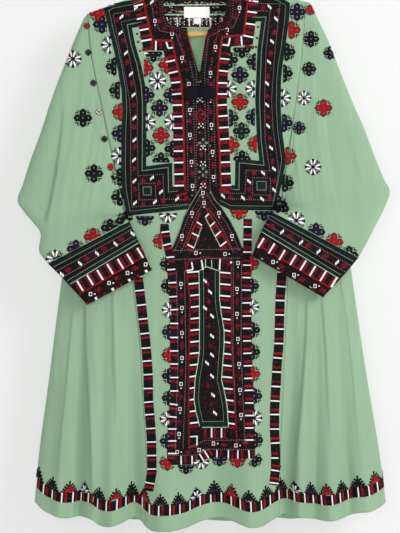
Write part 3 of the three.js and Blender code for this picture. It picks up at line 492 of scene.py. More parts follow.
def sleeve_sections(edge, rows):
    """The sleeve's sections fan round the underarm and end at the cuff's top edge."""
    rough, cuff = SLEEVES[edge], CUFFS[edge]
    sign = -1 if edge == "left" else 1
    count = len(rough["x"])
    rough = dict(rough, at=np.arange(count, dtype=float))
    at = np.linspace(0, count - 1, rows)
    row = {name: smooth(rough, "at", name)(at) for name in SLEEVE_COLUMNS.split()}
    underarm = np.array(UNDERARM[edge], float)
    late = smoothstep(at, count - 4, count - 1)
    pivot_x = underarm[0] + (cuff["inner_x"][0] - underarm[0]) * late
    pivot_drop = underarm[1] + (cuff["inner_drop"][0] - underarm[1]) * late
    length = np.hypot(row["x"] - pivot_x, row["drop"] - pivot_drop)
    arc = SLEEVE_ARC * (1 - late)
    top = np.array([rough["x"][0], rough["drop"][0]])
    down = (underarm - top) / np.hypot(*(underarm - top))
    seam_end = underarm - down * SLEEVE_ARC
    bent = np.maximum(0, 1 - at / 8)[:, None]

    def bend(share):
        drop = top[1] + (seam_end[1] - top[1]) * share
        straight = top[0] + (seam_end[0] - top[0]) * share
        return bent * (seam_at[edge](drop) - straight)

    return {
        "outer_x": row["x"] + sign * SEAM_INSET,
        "outer_drop": row["drop"],
        "inner_x": pivot_x + (row["x"] - pivot_x) / length * arc + sign * SEAM_INSET,
        "inner_drop": pivot_drop + (row["drop"] - pivot_drop) / length * arc,
        "forward": row["forward"],
        "half": row["half"],
        "round": (0.03 + 0.11 * np.minimum(1, at / 4)) * (1 - 0.5 * late),
    }, bend


def sleeve_grid(edge, rows, around, inset=0.0):
    sections, bend = sleeve_sections(edge, rows)
    steps = SLEEVE_STEPS[edge]
    sign = -1 if edge == "left" else 1

    def step(x, drop):
        inward = -sign * (x - np.interp(drop, steps["drop"], steps["x"]))
        return np.interp(drop, steps["drop"], steps["rise"]) * smoothstep(inward, -4, 4)

    return ring_grid(sections, around, inset, SLEEVE_CREASES[edge], step, bend)


def cuff_grid(edge, rows, around, inset=0.0):
    rough = dict(CUFFS[edge], at=np.arange(4, dtype=float))
    at = np.linspace(0, 3, rows)
    row = {name: smooth(rough, "at", name)(at) for name in CUFF_COLUMNS.split()}
    full = np.ones(rows)
    sections = dict(row, forward=full * CUFF_FORWARD, half=full * CUFF_HALF_DEPTH, round=full * 0.07)
    return ring_grid(sections, around, inset)


# Colours as they look in the studio light
PAINT = {
    "cloth_chest": (169, 201, 169),
    "cloth_hem": (168, 200, 169),
    "black": (9, 11, 10),
    "coal": (14, 17, 16),
    "brown": (20, 11, 13),
    "green": (8, 36, 32),
    "maroon": (70, 9, 24),
    "crimson": (122, 13, 30),
    "red": (146, 18, 16),
    "pink": (196, 74, 70),
    "navy": (20, 16, 40),
    "ink": (13, 9, 20),
    "white": (238, 234, 238),
    "grey": (118, 138, 126),
    "lilac": (150, 138, 150),
    "pale": (168, 200, 170),
    "wood": (203, 160, 88),
    "steel": (196, 198, 200),
    "label": (236, 236, 232),
    "wall": (236, 236, 236),
    "floor": (226, 226, 224),
}


def linear(colour):
    """Screen values, 0 to 255, to a linear colour with full alpha."""
    out = []
    for value in colour:
        v = value / 255
        out.append(v / 12.92 if v <= 0.04045 else ((v + 0.055) / 1.055) ** 2.4)
    return (*out, 1.0)


def add_node(tree, kind, inputs=None, **settings):
    made = tree.nodes.new(kind)
    for name, value in settings.items():
        setattr(made, name, value)
    for name, value in (inputs or {}).items():
        if isinstance(value, bpy.types.NodeSocket):
            tree.links.new(value, made.inputs[name])
        else:
            made.inputs[name].default_value = value
    return made


def math_node(tree, operation, first, second=None):
    inputs = {0: first} if second is None else {0: first, 1: second}
    return add_node(tree, "ShaderNodeMath", inputs, operation=operation).outputs[0]


def new_group(name, inputs, outputs):
    """A shader node group with numbers as its inputs and outputs."""
    tree = bpy.data.node_groups.new(name, "ShaderNodeTree")
    for label, value in inputs.items():
        tree.interface.new_socket(label, in_out="INPUT", socket_type="NodeSocketFloat").default_value = value
    for label in outputs:
        tree.interface.new_socket(label, in_out="OUTPUT", socket_type="NodeSocketFloat")
    return tree, tree.nodes.new("NodeGroupInput").outputs, tree.nodes.new("NodeGroupOutput").inputs


def object_point(tree, scale=None):
    """A point on the piece in the row frame, stretched where a scale is given."""
    at = add_node(tree, "ShaderNodeTexCoord").outputs["Object"]
    if scale is None:
        return at
    return add_node(tree, "ShaderNodeMapping", {"Vector": at, "Scale": scale}).outputs[0]


def noise_node(tree, at, scale, detail, **more):
    return add_node(tree, "ShaderNodeTexNoise",
                    {"Vector": at, "Scale": scale, "Detail": detail, **more}).outputs["Fac"]


def weave_group():
    """Plain weave: crossed fine threads, uneven, with faint streaks down the cloth."""
    if "Weave" in bpy.data.node_groups:
        return bpy.data.node_groups["Weave"]
    tree, given, wanted = new_group("Weave", {"Threads a metre": 1500.0}, ("Height", "Streaks", "Cloud"))
    at = object_point(tree)
    waves = []
    for axis in ("X", "Z"):
        part = add_node(tree, "ShaderNodeSeparateXYZ", {0: at}).outputs[axis]
        turned = math_node(tree, "MULTIPLY", part, given["Threads a metre"])
        waves.append(math_node(tree, "SINE", math_node(tree, "MULTIPLY", turned, math.tau)))
    crossed = math_node(tree, "MULTIPLY", *waves)
    slub = noise_node(tree, object_point(tree, (900, 900, 60)), 1.0, 2.0)
    tree.links.new(math_node(tree, "ADD", crossed, slub), wanted["Height"])
    streaks = noise_node(tree, object_point(tree, (95, 20, 2.2)), 1.0, 3.0, Roughness=0.6)
    tree.links.new(streaks, wanted["Streaks"])
    tree.links.new(noise_node(tree, at, 6.0, 2.0), wanted["Cloud"])
    return tree


def stitch_group():
    """Rows of fine stitches with a little unevenness, and a mask of their speckles."""
    if "Stitches" in bpy.data.node_groups:
        return bpy.data.node_groups["Stitches"]
    tree, given, wanted = new_group(
        "Stitches", {"Stitches a metre": 1100.0, "Slant": 0.6, "Speckles a metre": 300.0},
        ("Height", "Shade", "Speckle"))
    at = object_point(tree)
    part = add_node(tree, "ShaderNodeSeparateXYZ", {0: at}).outputs
    slanted = math_node(tree, "ADD", part["Z"], math_node(tree, "MULTIPLY", part["X"], given["Slant"]))
    wander = noise_node(tree, at, 260.0, 1.0)
    wavy = math_node(tree, "ADD", slanted, math_node(tree, "MULTIPLY", wander, 0.0016))
    turned = math_node(tree, "MULTIPLY", wavy, given["Stitches a metre"])
    wave = math_node(tree, "SINE", math_node(tree, "MULTIPLY", turned, math.pi))
    tree.links.new(math_node(tree, "ABSOLUTE", wave), wanted["Height"])
    tree.links.new(wander, wanted["Shade"])
    cells = add_node(tree, "ShaderNodeTexVoronoi", {
        "Vector": at, "Scale": given["Speckles a metre"], "Randomness": 0.9})
    tone = add_node(tree, "ShaderNodeSeparateColor", {0: cells.outputs["Color"]}).outputs[0]
    tree.links.new(tone, wanted["Speckle"])
    return tree


def grain_group():
    """Long wood grain along the bar."""
    if "Wood grain" in bpy.data.node_groups:
        return bpy.data.node_groups["Wood grain"]
    tree, given, wanted = new_group("Wood grain", {"Rings a metre": 130.0}, ("Grain", "Pores"))
    long = object_point(tree, (0.12, 1.0, 1.0))
    tree.links.new(noise_node(tree, long, given["Rings a metre"], 4.0, Distortion=0.6), wanted["Grain"])
    fine = object_point(tree, (90, 2600, 2600))
    tree.links.new(noise_node(tree, fine, 1.0, 1.0), wanted["Pores"])
    return tree


def new_material(name):
    made = bpy.data.materials.new(name)
    made.use_nodes = True
    tree = made.node_tree
    return made, tree, tree.nodes["Principled BSDF"]


def shared(tree, group):
    used = tree.nodes.new("ShaderNodeGroup")
    used.node_tree = group
    return used.outputs


def finish_surface(tree, surface, colour, values, height=None, strength=0.0, depth=0.0):
    """Gives a surface its colour, its plain values and a relief."""
    tree.links.new(colour, surface.inputs["Base Color"])
    for name, value in values.items():
        surface.inputs[name].default_value = value
    if height is not None:
        bump = add_node(tree, "ShaderNodeBump", {"Height": height, "Strength": strength, "Distance": depth})
        tree.links.new(bump.outputs[0], surface.inputs["Normal"])


def darkened(colour, *shares):
    """A linear colour with each of its parts brought down to a share."""
    return (*(v * share for v, share in zip(colour, shares)), 1.0)


def mix_colours(tree, factor, first, second):
    return add_node(tree, "ShaderNodeMix", {0: factor, 6: first, 7: second},
                    data_type="RGBA").outputs[2]


def span(tree, value, low, high, to_low=0.0, to_high=1.0):
    """Maps a value from one range to another, held at the ends."""
    return add_node(tree, "ShaderNodeMapRange", {
        "Value": value, "From Min": low, "From Max": high, "To Min": to_low, "To Max": to_high,
    }).outputs[0]


def cloth_material():
    if "Cloth" in bpy.data.materials:
        return bpy.data.materials["Cloth"]
    look = bpy.context.scene.dress_look
    made, tree, surface = new_material("Cloth")
    weave = shared(tree, weave_group())
    height = add_node(tree, "ShaderNodeSeparateXYZ", {0: object_point(tree)}).outputs["Z"]
    down = span(tree, height, -0.45, -1.15)
    plain = mix_colours(tree, down, linear([v * 255 for v in look.cloth_chest]),
                        linear([v * 255 for v in look.cloth_hem]))
    streaks = span(tree, weave["Streaks"], 0.3, 0.75, 0.955, 1.035)
    clouds = span(tree, weave["Cloud"], 0.3, 0.7, 0.98, 1.02)
    tone = math_node(tree, "MULTIPLY", streaks, clouds)
    grey = add_node(tree, "ShaderNodeCombineColor", {0: tone, 1: tone, 2: tone}).outputs[0]
    toned = add_node(tree, "ShaderNodeMix", {0: 1.0, 6: plain, 7: grey}, data_type="RGBA",
                     blend_type="MULTIPLY").outputs[2]
    finish_surface(tree, surface, toned, {"Roughness": 0.86, "Sheen Weight": 0.25, "Sheen Roughness": 0.5,
                                          "Specular IOR Level": 0.25},
                   weave["Height"], 0.25, look.weave_relief)
    through = add_node(tree, "ShaderNodeBsdfTranslucent", {"Color": toned})
    thin = add_node(tree, "ShaderNodeMixShader", {0: look.cloth_thinness, 1: surface.outputs[0],
                                                  2: through.outputs[0]})
    tree.links.new(thin.outputs[0], tree.nodes["Material Output"].inputs["Surface"])
    return made


SPECKLES = {"black": ("maroon", 0.1), "brown": ("black", 0.4), "green": ("black", 0.25),
            "maroon": ("crimson", 0.4), "crimson": ("maroon", 0.25), "red": ("crimson", 0.3)}


def thread_material(thread):
    """Stitched thread: fine ridges, a soft gloss and speckles of its neighbour's colour."""
    name = "Thread " + thread
    if name in bpy.data.materials:
        return bpy.data.materials[name]
    made, tree, surface = new_material(name)
    stitches = shared(tree, stitch_group())
    other, share = SPECKLES.get(thread, (thread, 0.0))
    shade = span(tree, stitches["Shade"], 0.3, 0.7, 0.0, 0.35)
    plain = linear(PAINT[thread])
    body = mix_colours(tree, shade, plain, darkened(plain, 0.6, 0.6, 0.6))
    mask = math_node(tree, "LESS_THAN", stitches["Speckle"], share)
    body = mix_colours(tree, mask, body, linear(PAINT[other]))
    finish_surface(tree, surface, body, {"Roughness": 0.75, "Specular IOR Level": 0.12},
                   stitches["Height"], 0.5, 0.00025)
    return made


def wood_material():
    if "Wood" in bpy.data.materials:
        return bpy.data.materials["Wood"]
    made, tree, surface = new_material("Wood")
    grain = shared(tree, grain_group())
    plain = linear(PAINT["wood"])
    shade = span(tree, grain["Grain"], 0.4, 0.7, 0.0, 0.7)
    body = mix_colours(tree, shade, plain, darkened(plain, 0.72, 0.62, 0.5))
    finish_surface(tree, surface, body, {"Roughness": 0.38}, grain["Pores"], 0.2, 0.0002)
    return made


def plain_material(name, paint, roughness, metallic=0.0):
    """A nearly plain finish, with a faint unevenness."""
    if name in bpy.data.materials:
        return bpy.data.materials[name]
    made, tree, surface = new_material(name)
    noise = noise_node(tree, object_point(tree), 60.0, 2.0)
    plain = linear(PAINT[paint])
    body = mix_colours(tree, span(tree, noise, 0.35, 0.7), plain, darkened(plain, 0.92, 0.92, 0.92))
    finish_surface(tree, surface, body, {"Metallic": metallic})
    rough = span(tree, noise, 0.3, 0.7, roughness * 0.9, roughness * 1.1)
    tree.links.new(rough, surface.inputs["Roughness"])
    return made


def wall_material():
    """The wall behind: seen from the front, and clear from behind."""
    made, tree, surface = new_material("Wall")
    glow = add_node(tree, "ShaderNodeEmission", {"Color": linear(PAINT["wall"]), "Strength": 1.0})
    matt = add_node(tree, "ShaderNodeBsdfDiffuse", {"Color": linear(PAINT["wall"])})
    seen = add_node(tree, "ShaderNodeMixShader", {0: WALL_GLOW, 1: matt.outputs[0], 2: glow.outputs[0]})
    clear = add_node(tree, "ShaderNodeBsdfTransparent")
    back = add_node(tree, "ShaderNodeNewGeometry").outputs["Backfacing"]
    mixed = add_node(tree, "ShaderNodeMixShader", {0: back, 1: seen.outputs[0], 2: clear.outputs[0]})
    tree.links.new(mixed.outputs[0], tree.nodes["Material Output"].inputs["Surface"])
    tree.nodes.remove(surface)
    return made


def chart_target(x, y):
    return Vector(((x - CHART_X) * UNIT, PICTURE_PLANE, -(y - CHART_Y) * UNIT))


class Chart:
    """Places chart points on a shell: in front along the eye's rays, behind straight through."""

    def __init__(self, tree, side=-1):
        self.tree = tree
        self.side = side

    def place(self, points):
        placed = []
        for x, y, h in points:
            target = chart_target(x, y)
            if self.side < 0:
                start, way = EYE, target - EYE
            else:
                start, way = target + Vector((0, 1, 0)), Vector((0, -1, 0))
            hit, normal, _, _ = self.tree.ray_cast(start, way)
            if hit is None:
                hit, normal, _, _ = self.tree.find_nearest(target)
            if normal.dot(way) > 0:
                normal = -normal
            placed.append(hit + normal * (h * MM))
        return placed


class HemLoop:
    """Places points of the hem band: x is the way round in chart units, y the height down."""

    def __init__(self):
        measured_at = 5
        share = np.sin(np.linspace(-np.pi / 2, np.pi / 2, 500))
        self.share = np.concatenate([share, share[::-1][1:]])
        sides = np.concatenate([np.full(500, -1), np.full(499, 1)])
        mid = [body_point(side, *self.spot(side, np.array([w]), measured_at))[0]
               for w, side in zip(self.share, sides)]
        steps = np.linalg.norm(np.diff(np.array(mid), axis=0), axis=1) / (UNIT / MM)
        self.way = np.concatenate([[0], np.cumsum(steps)])
        self.length = self.way[-1]

    def spot(self, side, share, y):
        """Where a share of the half width lies, at a height above the hem's own line."""
        drop = hem_drop(side, x_across(share, HEM_DROP)) + y * UNIT / MM
        return x_across(share, drop), drop

    def place(self, points):
        points = np.array(points, float)
        way = np.mod(points[:, 0], self.length)
        share = np.interp(way, self.way, self.share)
        front = way < self.way[500]
        out = np.zeros((len(points), 3))
        for side in (-1, 1):
            chosen = front if side < 0 else ~front
            if not chosen.any():
                continue
            px, drop = self.spot(side, share[chosen], points[chosen, 1])
            at = body_point(side, px, drop)
            aside = body_point(side, px + 1, drop) - body_point(side, px - 1, drop)
            below = body_point(side, px, drop + 1) - body_point(side, px, drop - 1)
            normal = np.cross(aside, below)
            normal /= np.maximum(np.linalg.norm(normal, axis=1, keepdims=True), 1e-9)
            normal *= np.where(normal[:, 1] * side < 0, -1, 1)[:, None]
            out[chosen] = at + normal * points[chosen, 2][:, None]
        return [Vector(p * MM) for p in out]


def legs_of(path, closed):
    """A path's corners, with the direction and the length of each leg."""
    p = np.array(path, float)
    if closed:
        p = np.concatenate([p, p[:1]])
    way = np.diff(p, axis=0)
    length = np.hypot(*way.T)
    return p, way / length[:, None], length


def resample(path, step, closed=False):
    """Points along a path about a step apart, each with the mitred direction to its left."""
    p, unit, length = legs_of(path, closed)
    left = np.stack([unit[:, 1], -unit[:, 0]], 1)
    first = left[-1] if closed else left[0]
    last = left[0] if closed else left[-1]
    before = np.concatenate([[first], left])
    after = np.concatenate([left, [last]])
    mitre = (before + after) / np.maximum(1 + (before * after).sum(1), 0.35)[:, None]
    points, sides = [], []
    for i, total in enumerate(length):
        count = max(1, int(math.ceil(total / step)))
        t = (np.arange(count) / count)[:, None]
        points.append(p[i] + (p[i + 1] - p[i]) * t)
        sides.append(mitre[i] + (mitre[i + 1] - mitre[i]) * t)
    points.append(p[-1:])
    sides.append(mitre[-1:])
    return np.concatenate(points), np.concatenate(sides)


def evenly(path, pitch, start=0.0, closed=False):
    """Points at an even pitch along a path, with the direction of travel."""
    p, unit, length = legs_of(path, closed)
    total = np.concatenate([[0], np.cumsum(length)])
    count = max(1, int(round((total[-1] - start) / pitch)))
    found = []
    for k in range(count + (0 if closed else 1)):
        at = min(start + k * (total[-1] - start) / count, total[-1] - 1e-6)
        i = min(np.searchsorted(total, at, side="right") - 1, len(unit) - 1)
        found.append((p[i] + unit[i] * (at - total[i]), unit[i]))
    return found


def at_level(path, value, axis):
    """The first point of a path whose x (0) or y (1) is the value, with the travel there."""
    p = np.array(path, float)
    for a, b in zip(p[:-1], p[1:]):
        low, high = sorted((a[axis], b[axis]))
        if low <= value <= high and high > low:
            t = (value - a[axis]) / (b[axis] - a[axis])
            return a + (b - a) * t, (b - a) / np.hypot(*(b - a))
    raise ValueError(f"no point of the path lies at {value}")


def area_of(outline):
    p = np.array(outline, float)
    q = np.roll(p, -1, 0)
    return (p[:, 0] * q[:, 1] - p[:, 1] * q[:, 0]).sum() / 2


def clipped(outline, cut):
    """The part of an outline where cut's direction dot the point is under its limit."""
    if cut is None:
        return outline
    nx, ny, limit = cut
    kept = []
    for (ax, ay), (bx, by) in zip(outline, outline[1:] + outline[:1]):
        a, b = ax * nx + ay * ny - limit, bx * nx + by * ny - limit
        if a <= 0:
            kept.append((ax, ay))
        if (a < 0 < b) or (b < 0 < a):
            t = a / (a - b)
            kept.append((ax + (bx - ax) * t, ay + (by - ay) * t))
    return kept


# Outlines of the motifs, an arm at a time, in chart units from the centre
ARM = spots("3.1,3.1 3.4,4.6 3,5.4 3.7,6.2 3.1,7.3 2,7.5 1.5,8.5 0.6,8.5 0,9.3 -0.7,8.6 -1.6,8.5 "
            "-2.1,7.5 -3.3,7.2 -3.6,6.1 -3,5.4 -3.4,4.6")
PETAL = spots("0.35,1.1 1.6,2.4 2.5,4.2 3.2,6.6 2.4,8.3 1.2,7.4 0.4,4.6")
TREE_KNOTS = spots("7.6,-0.6 6,-3 4.6,-5.4 3,-7.8 0,-10.4")
TREE = spots("8,0 7,-1.6 5.2,-1.8 5.4,-3.4 3.6,-3.6 4,-5.6 2.2,-5.6 2.4,-7.8 1,-7.6 0,-10 -1,-7.6 "
             "-2.4,-7.8 -2.2,-5.6 -4,-5.6 -3.6,-3.6 -5.4,-3.4 -5.2,-1.8 -7,-1.6 -8,0")


def turned(points, quarter):
    """Points turned by quarter turns."""
    c, s = math.cos(quarter * math.pi / 2), math.sin(quarter * math.pi / 2)
    return [(x * c - y * s, x * s + y * c) for x, y in points]


def left_of(way):
    """The direction to the left of a way along the chart."""
    return np.array([way[1], -way[0]])


def each(places, stitch, *values, **named):
    """Makes the same stitch at each of the places."""
    for x, y in places:
        stitch(x, y, *values, **named)


class Work:
    """Raised stitching: pieces in chart units, each with a thread, built into one mesh."""

    def __init__(self, name, chart):
        self.name = name
        self.chart = chart
        self.points = []
        self.faces = []
        self.threads = []
        self.used = []

    def add(self, points, faces, thread):
        if thread not in self.used:
            self.used.append(thread)
        start = len(self.points)
        self.points.extend(points)
        self.faces.extend([tuple(start + i for i in face) for face in faces])
        self.threads.extend([self.used.index(thread)] * len(faces))

    def ribbon(self, path, a, b, thread, height=1.5, step=3.0, closed=False):
        """A raised band beside a path, between two distances to its left."""
        a, b = min(a, b), max(a, b)
        line, left = resample(path, step, closed)
        bevel = min(0.35, (b - a) * 0.25)
        points = []
        for at, side in zip(line, left):
            for d, h in ((a, 0), (a + bevel, height), (b - bevel, height), (b, 0)):
                points.append((*(at + side * d), h))
        faces = []
        for i in range(len(line) - 1):
            for j in range(3):
                k = i * 4 + j
                faces.append((k, k + 4, k + 5, k + 1))
        if not closed:
            end = (len(line) - 1) * 4
            faces.append((0, 1, 2, 3))
            faces.append((end + 3, end + 2, end + 1, end))
        self.add(points, faces, thread)

    def patch(self, outline, thread, height=2.0, shrink=0.8, centre=None):
        """A raised flat shape with sloping edges."""
        if len(outline) < 3:
            return
        if area_of(outline) > 0:
            outline = outline[::-1]
        p = np.array(outline, float)
        middle = p.mean(0) if centre is None else np.array(centre)
        top = middle + (p - middle) * shrink
        count = len(p)
        points = [(*q, 0) for q in p] + [(*q, height) for q in top]
        faces = []
        if centre is None:
            faces.append(tuple(range(count, 2 * count)))
        else:
            points.extend((*q, height) for q in middle + (top - middle) * 0.5)
            points.append((*middle, height))
        for k in range(count):
            after = (k + 1) % count
            faces.append((k, after, count + after, count + k))
            if centre is not None:
                faces.append((count + k, count + after, 2 * count + after, 2 * count + k))
                faces.append((2 * count + k, 2 * count + after, 3 * count))
        self.add(points, faces, thread)

    def dots(self, path, thread="lilac", d=0.0, pitch=2.1, size=0.85, height=1.9, closed=False):
        """A row of small square stitches beside a path."""
        for at, unit in evenly(path, pitch, closed=closed):
            self.dot(at + left_of(unit) * d, thread, size, height, unit)

    def dot(self, at, thread="white", size=0.9, height=1.9, unit=(1, 0)):
        along = np.array(unit, float) * size / 2
        aside = left_of(along)
        at = np.array(at, float)
        corners = [tuple(at + along + aside), tuple(at + along - aside),
                   tuple(at - along - aside), tuple(at - along + aside)]
        self.patch(corners, thread, height, shrink=0.7)

    def diamond(self, x, y, thread, wide=5.0, tall=5.0, height=2.1):
        self.patch([(x, y - tall / 2), (x + wide / 2, y), (x, y + tall / 2), (x - wide / 2, y)],
                   thread, height)

    def slanted(self, x, y, lean, thread="white"):
        """A small slanting stitch group with a dark eye."""
        side = math.copysign(1, lean)
        self.patch([(x + 1.9 * side, y - 3.1), (x + 2.1 * side, y - 0.2), (x - 1.9 * side, y + 3.1),
                    (x - 2.1 * side, y + 0.2)], thread, 2.2)
        self.dot((x, y), "black", 1.0, 2.6, (0.6, -0.8 * side))

    def block(self, x, y, thread="maroon", wide=4.8, tall=7.0):
        """A stitched block with stepped corners."""
        w, t = wide / 2, tall / 2
        self.patch([(x, y - t), (x + w, y - t * 0.5), (x + w, y + t * 0.5), (x, y + t),
                    (x - w, y + t * 0.5), (x - w, y - t * 0.5)], thread, 1.7)
        self.diamond(x, y, "crimson", wide * 0.7, tall * 0.7)

    def rung(self, a, b, thick, thread, height=1.8):
        self.ribbon([a, b], -thick / 2, thick / 2, thread, height)

    def rungs(self, path, a, b, levels, thick=2.0, thread="white", height=1.8, shift=0.0, axis=1):
        """Bars across a ladder beside a path, at given levels of y (or of x)."""
        for level in levels:
            at, unit = at_level(path, level, axis)
            at = at + unit * shift
            self.rung(at + left_of(unit) * a, at + left_of(unit) * b, thick, thread, height)

    def group(self, x, y, wide=False):
        """A small open square between two dots, down or across the band."""
        d = (1, 0) if wide else (0, 1)
        ring = [(x - 1.2, y - 1.5), (x + 1.2, y - 1.5), (x + 1.2, y + 1.5), (x - 1.2, y + 1.5)]
        self.ribbon(ring, -0.35, 0.5, "white", 2.0, closed=True)
        self.dot((x + d[0] * 4.2, y + d[1] * 4.2), "white", 1.5, 2.0)

    def flower(self, x, y, thread, size=18.0, cut=None):
        """A cross of four lobed arms; the white one is eight petals in pairs."""
        scale = size / 18

        def piece(outline, colour, height, quarter, shrink=0.85, centre=None):
            shape = clipped(turned(outline, quarter), cut)
            placed = [(x + px * scale, y + py * scale) for px, py in shape]
            self.patch(placed, colour, height, shrink, centre)

        def knot(px, py, colour, half, height, quarter):
            piece([(px - half, py - half), (px + half, py - half), (px + half, py + half),
                   (px - half, py + half)], colour, height, quarter)

        outline = [p for quarter in range(4) for p in turned(ARM, quarter)]
        held = np.zeros(2) if cut is None else -np.array(cut[:2]) * max(0, 2 - cut[2]) * scale
        centre = (x + held[0], y + held[1])
        piece(outline, "coal", 1.2, 0, 0.96, centre)
        for quarter in range(4):
            knot(5.1, 5.1, "coal", 0.9, 1.3, quarter)
            for side in (-1, 1):
                knot(4.7 * side, 7, "coal", 0.55, 1.3, quarter)
        if thread == "white":
            for quarter in range(4):
                for side in (-1, 1):
                    piece([(px * side, py) for px, py in PETAL], "white", 1.8, quarter)
            return
        piece([(px * 0.93, py * 0.93) for px, py in outline], thread, 1.7, 0, 0.95, centre)
        eye = "pink" if thread == "red" else "lilac"
        for quarter in range(4):
            knot(0, 5.2, eye, 0.6, 2.1, quarter)
        knot(0, 0, eye, 0.6, 2.1, 0)

    def flowers(self, *rows):
        """Flowers of a size and a cut, written as a thread's name and then its centres."""
        for size, cut, text in rows:
            for word in text.split():
                if word.isalpha():
                    thread = word
                else:
                    self.flower(*spots(word)[0], thread, size, cut)

    def ground(self, outline, thread, height=0.7, base=-0.2):
        """A flat ground of stitches inside an outline."""
        pitch = 4.0
        edge, _ = resample(outline, pitch, True)
        edge = edge[:-1]
        low, high = edge.min(0), edge.max(0)
        xs = np.arange(low[0] + pitch / 2, high[0], pitch)
        ys = np.arange(low[1] + pitch / 2, high[1], pitch)
        inside = [(x, y) for x in xs for y in ys if np.hypot(*(edge - (x, y)).T).min() > pitch * 0.45]
        coords = [Vector(p) for p in [*map(tuple, edge), *inside]]
        verts, _, faces, _, _, _ = delaunay_2d_cdt(coords, [], [list(range(len(edge)))], 1, 1e-5)
        plane = [(v.x, v.y) for v in verts]
        count = len(plane)
        good, rims = [], {}
        for face in faces:
            face = list(face) if area_of([plane[i] for i in face]) < 0 else list(face)[::-1]
            good.append(tuple(face))
            for a, b in zip(face, face[1:] + face[:1]):
                rims[(a, b)] = True
        walls = [(b, a, a + count, b + count) for a, b in rims if (b, a) not in rims]
        self.add([(*p, height) for p in plane] + [(*p, base) for p in plane], good + walls, thread)

    def build(self, *replaced):
        points = self.chart.place(self.points)
        flip = getattr(self.chart, "side", -1) > 0
        faces = [face[::-1] for face in self.faces] if flip else self.faces
        made = make_mesh(self.name, points, faces)
        for thread in self.used:
            made.data.materials.append(thread_material(thread))
        made.data.polygons.foreach_set("material_index", self.threads)
        finish_piece(made, replaced)


def finish_piece(obj, replaced=(), material=None):
    if material is not None:
        obj.data.materials.clear()
        obj.data.materials.append(material)
    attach(obj, "root")
    if replaced:
        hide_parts(*replaced)


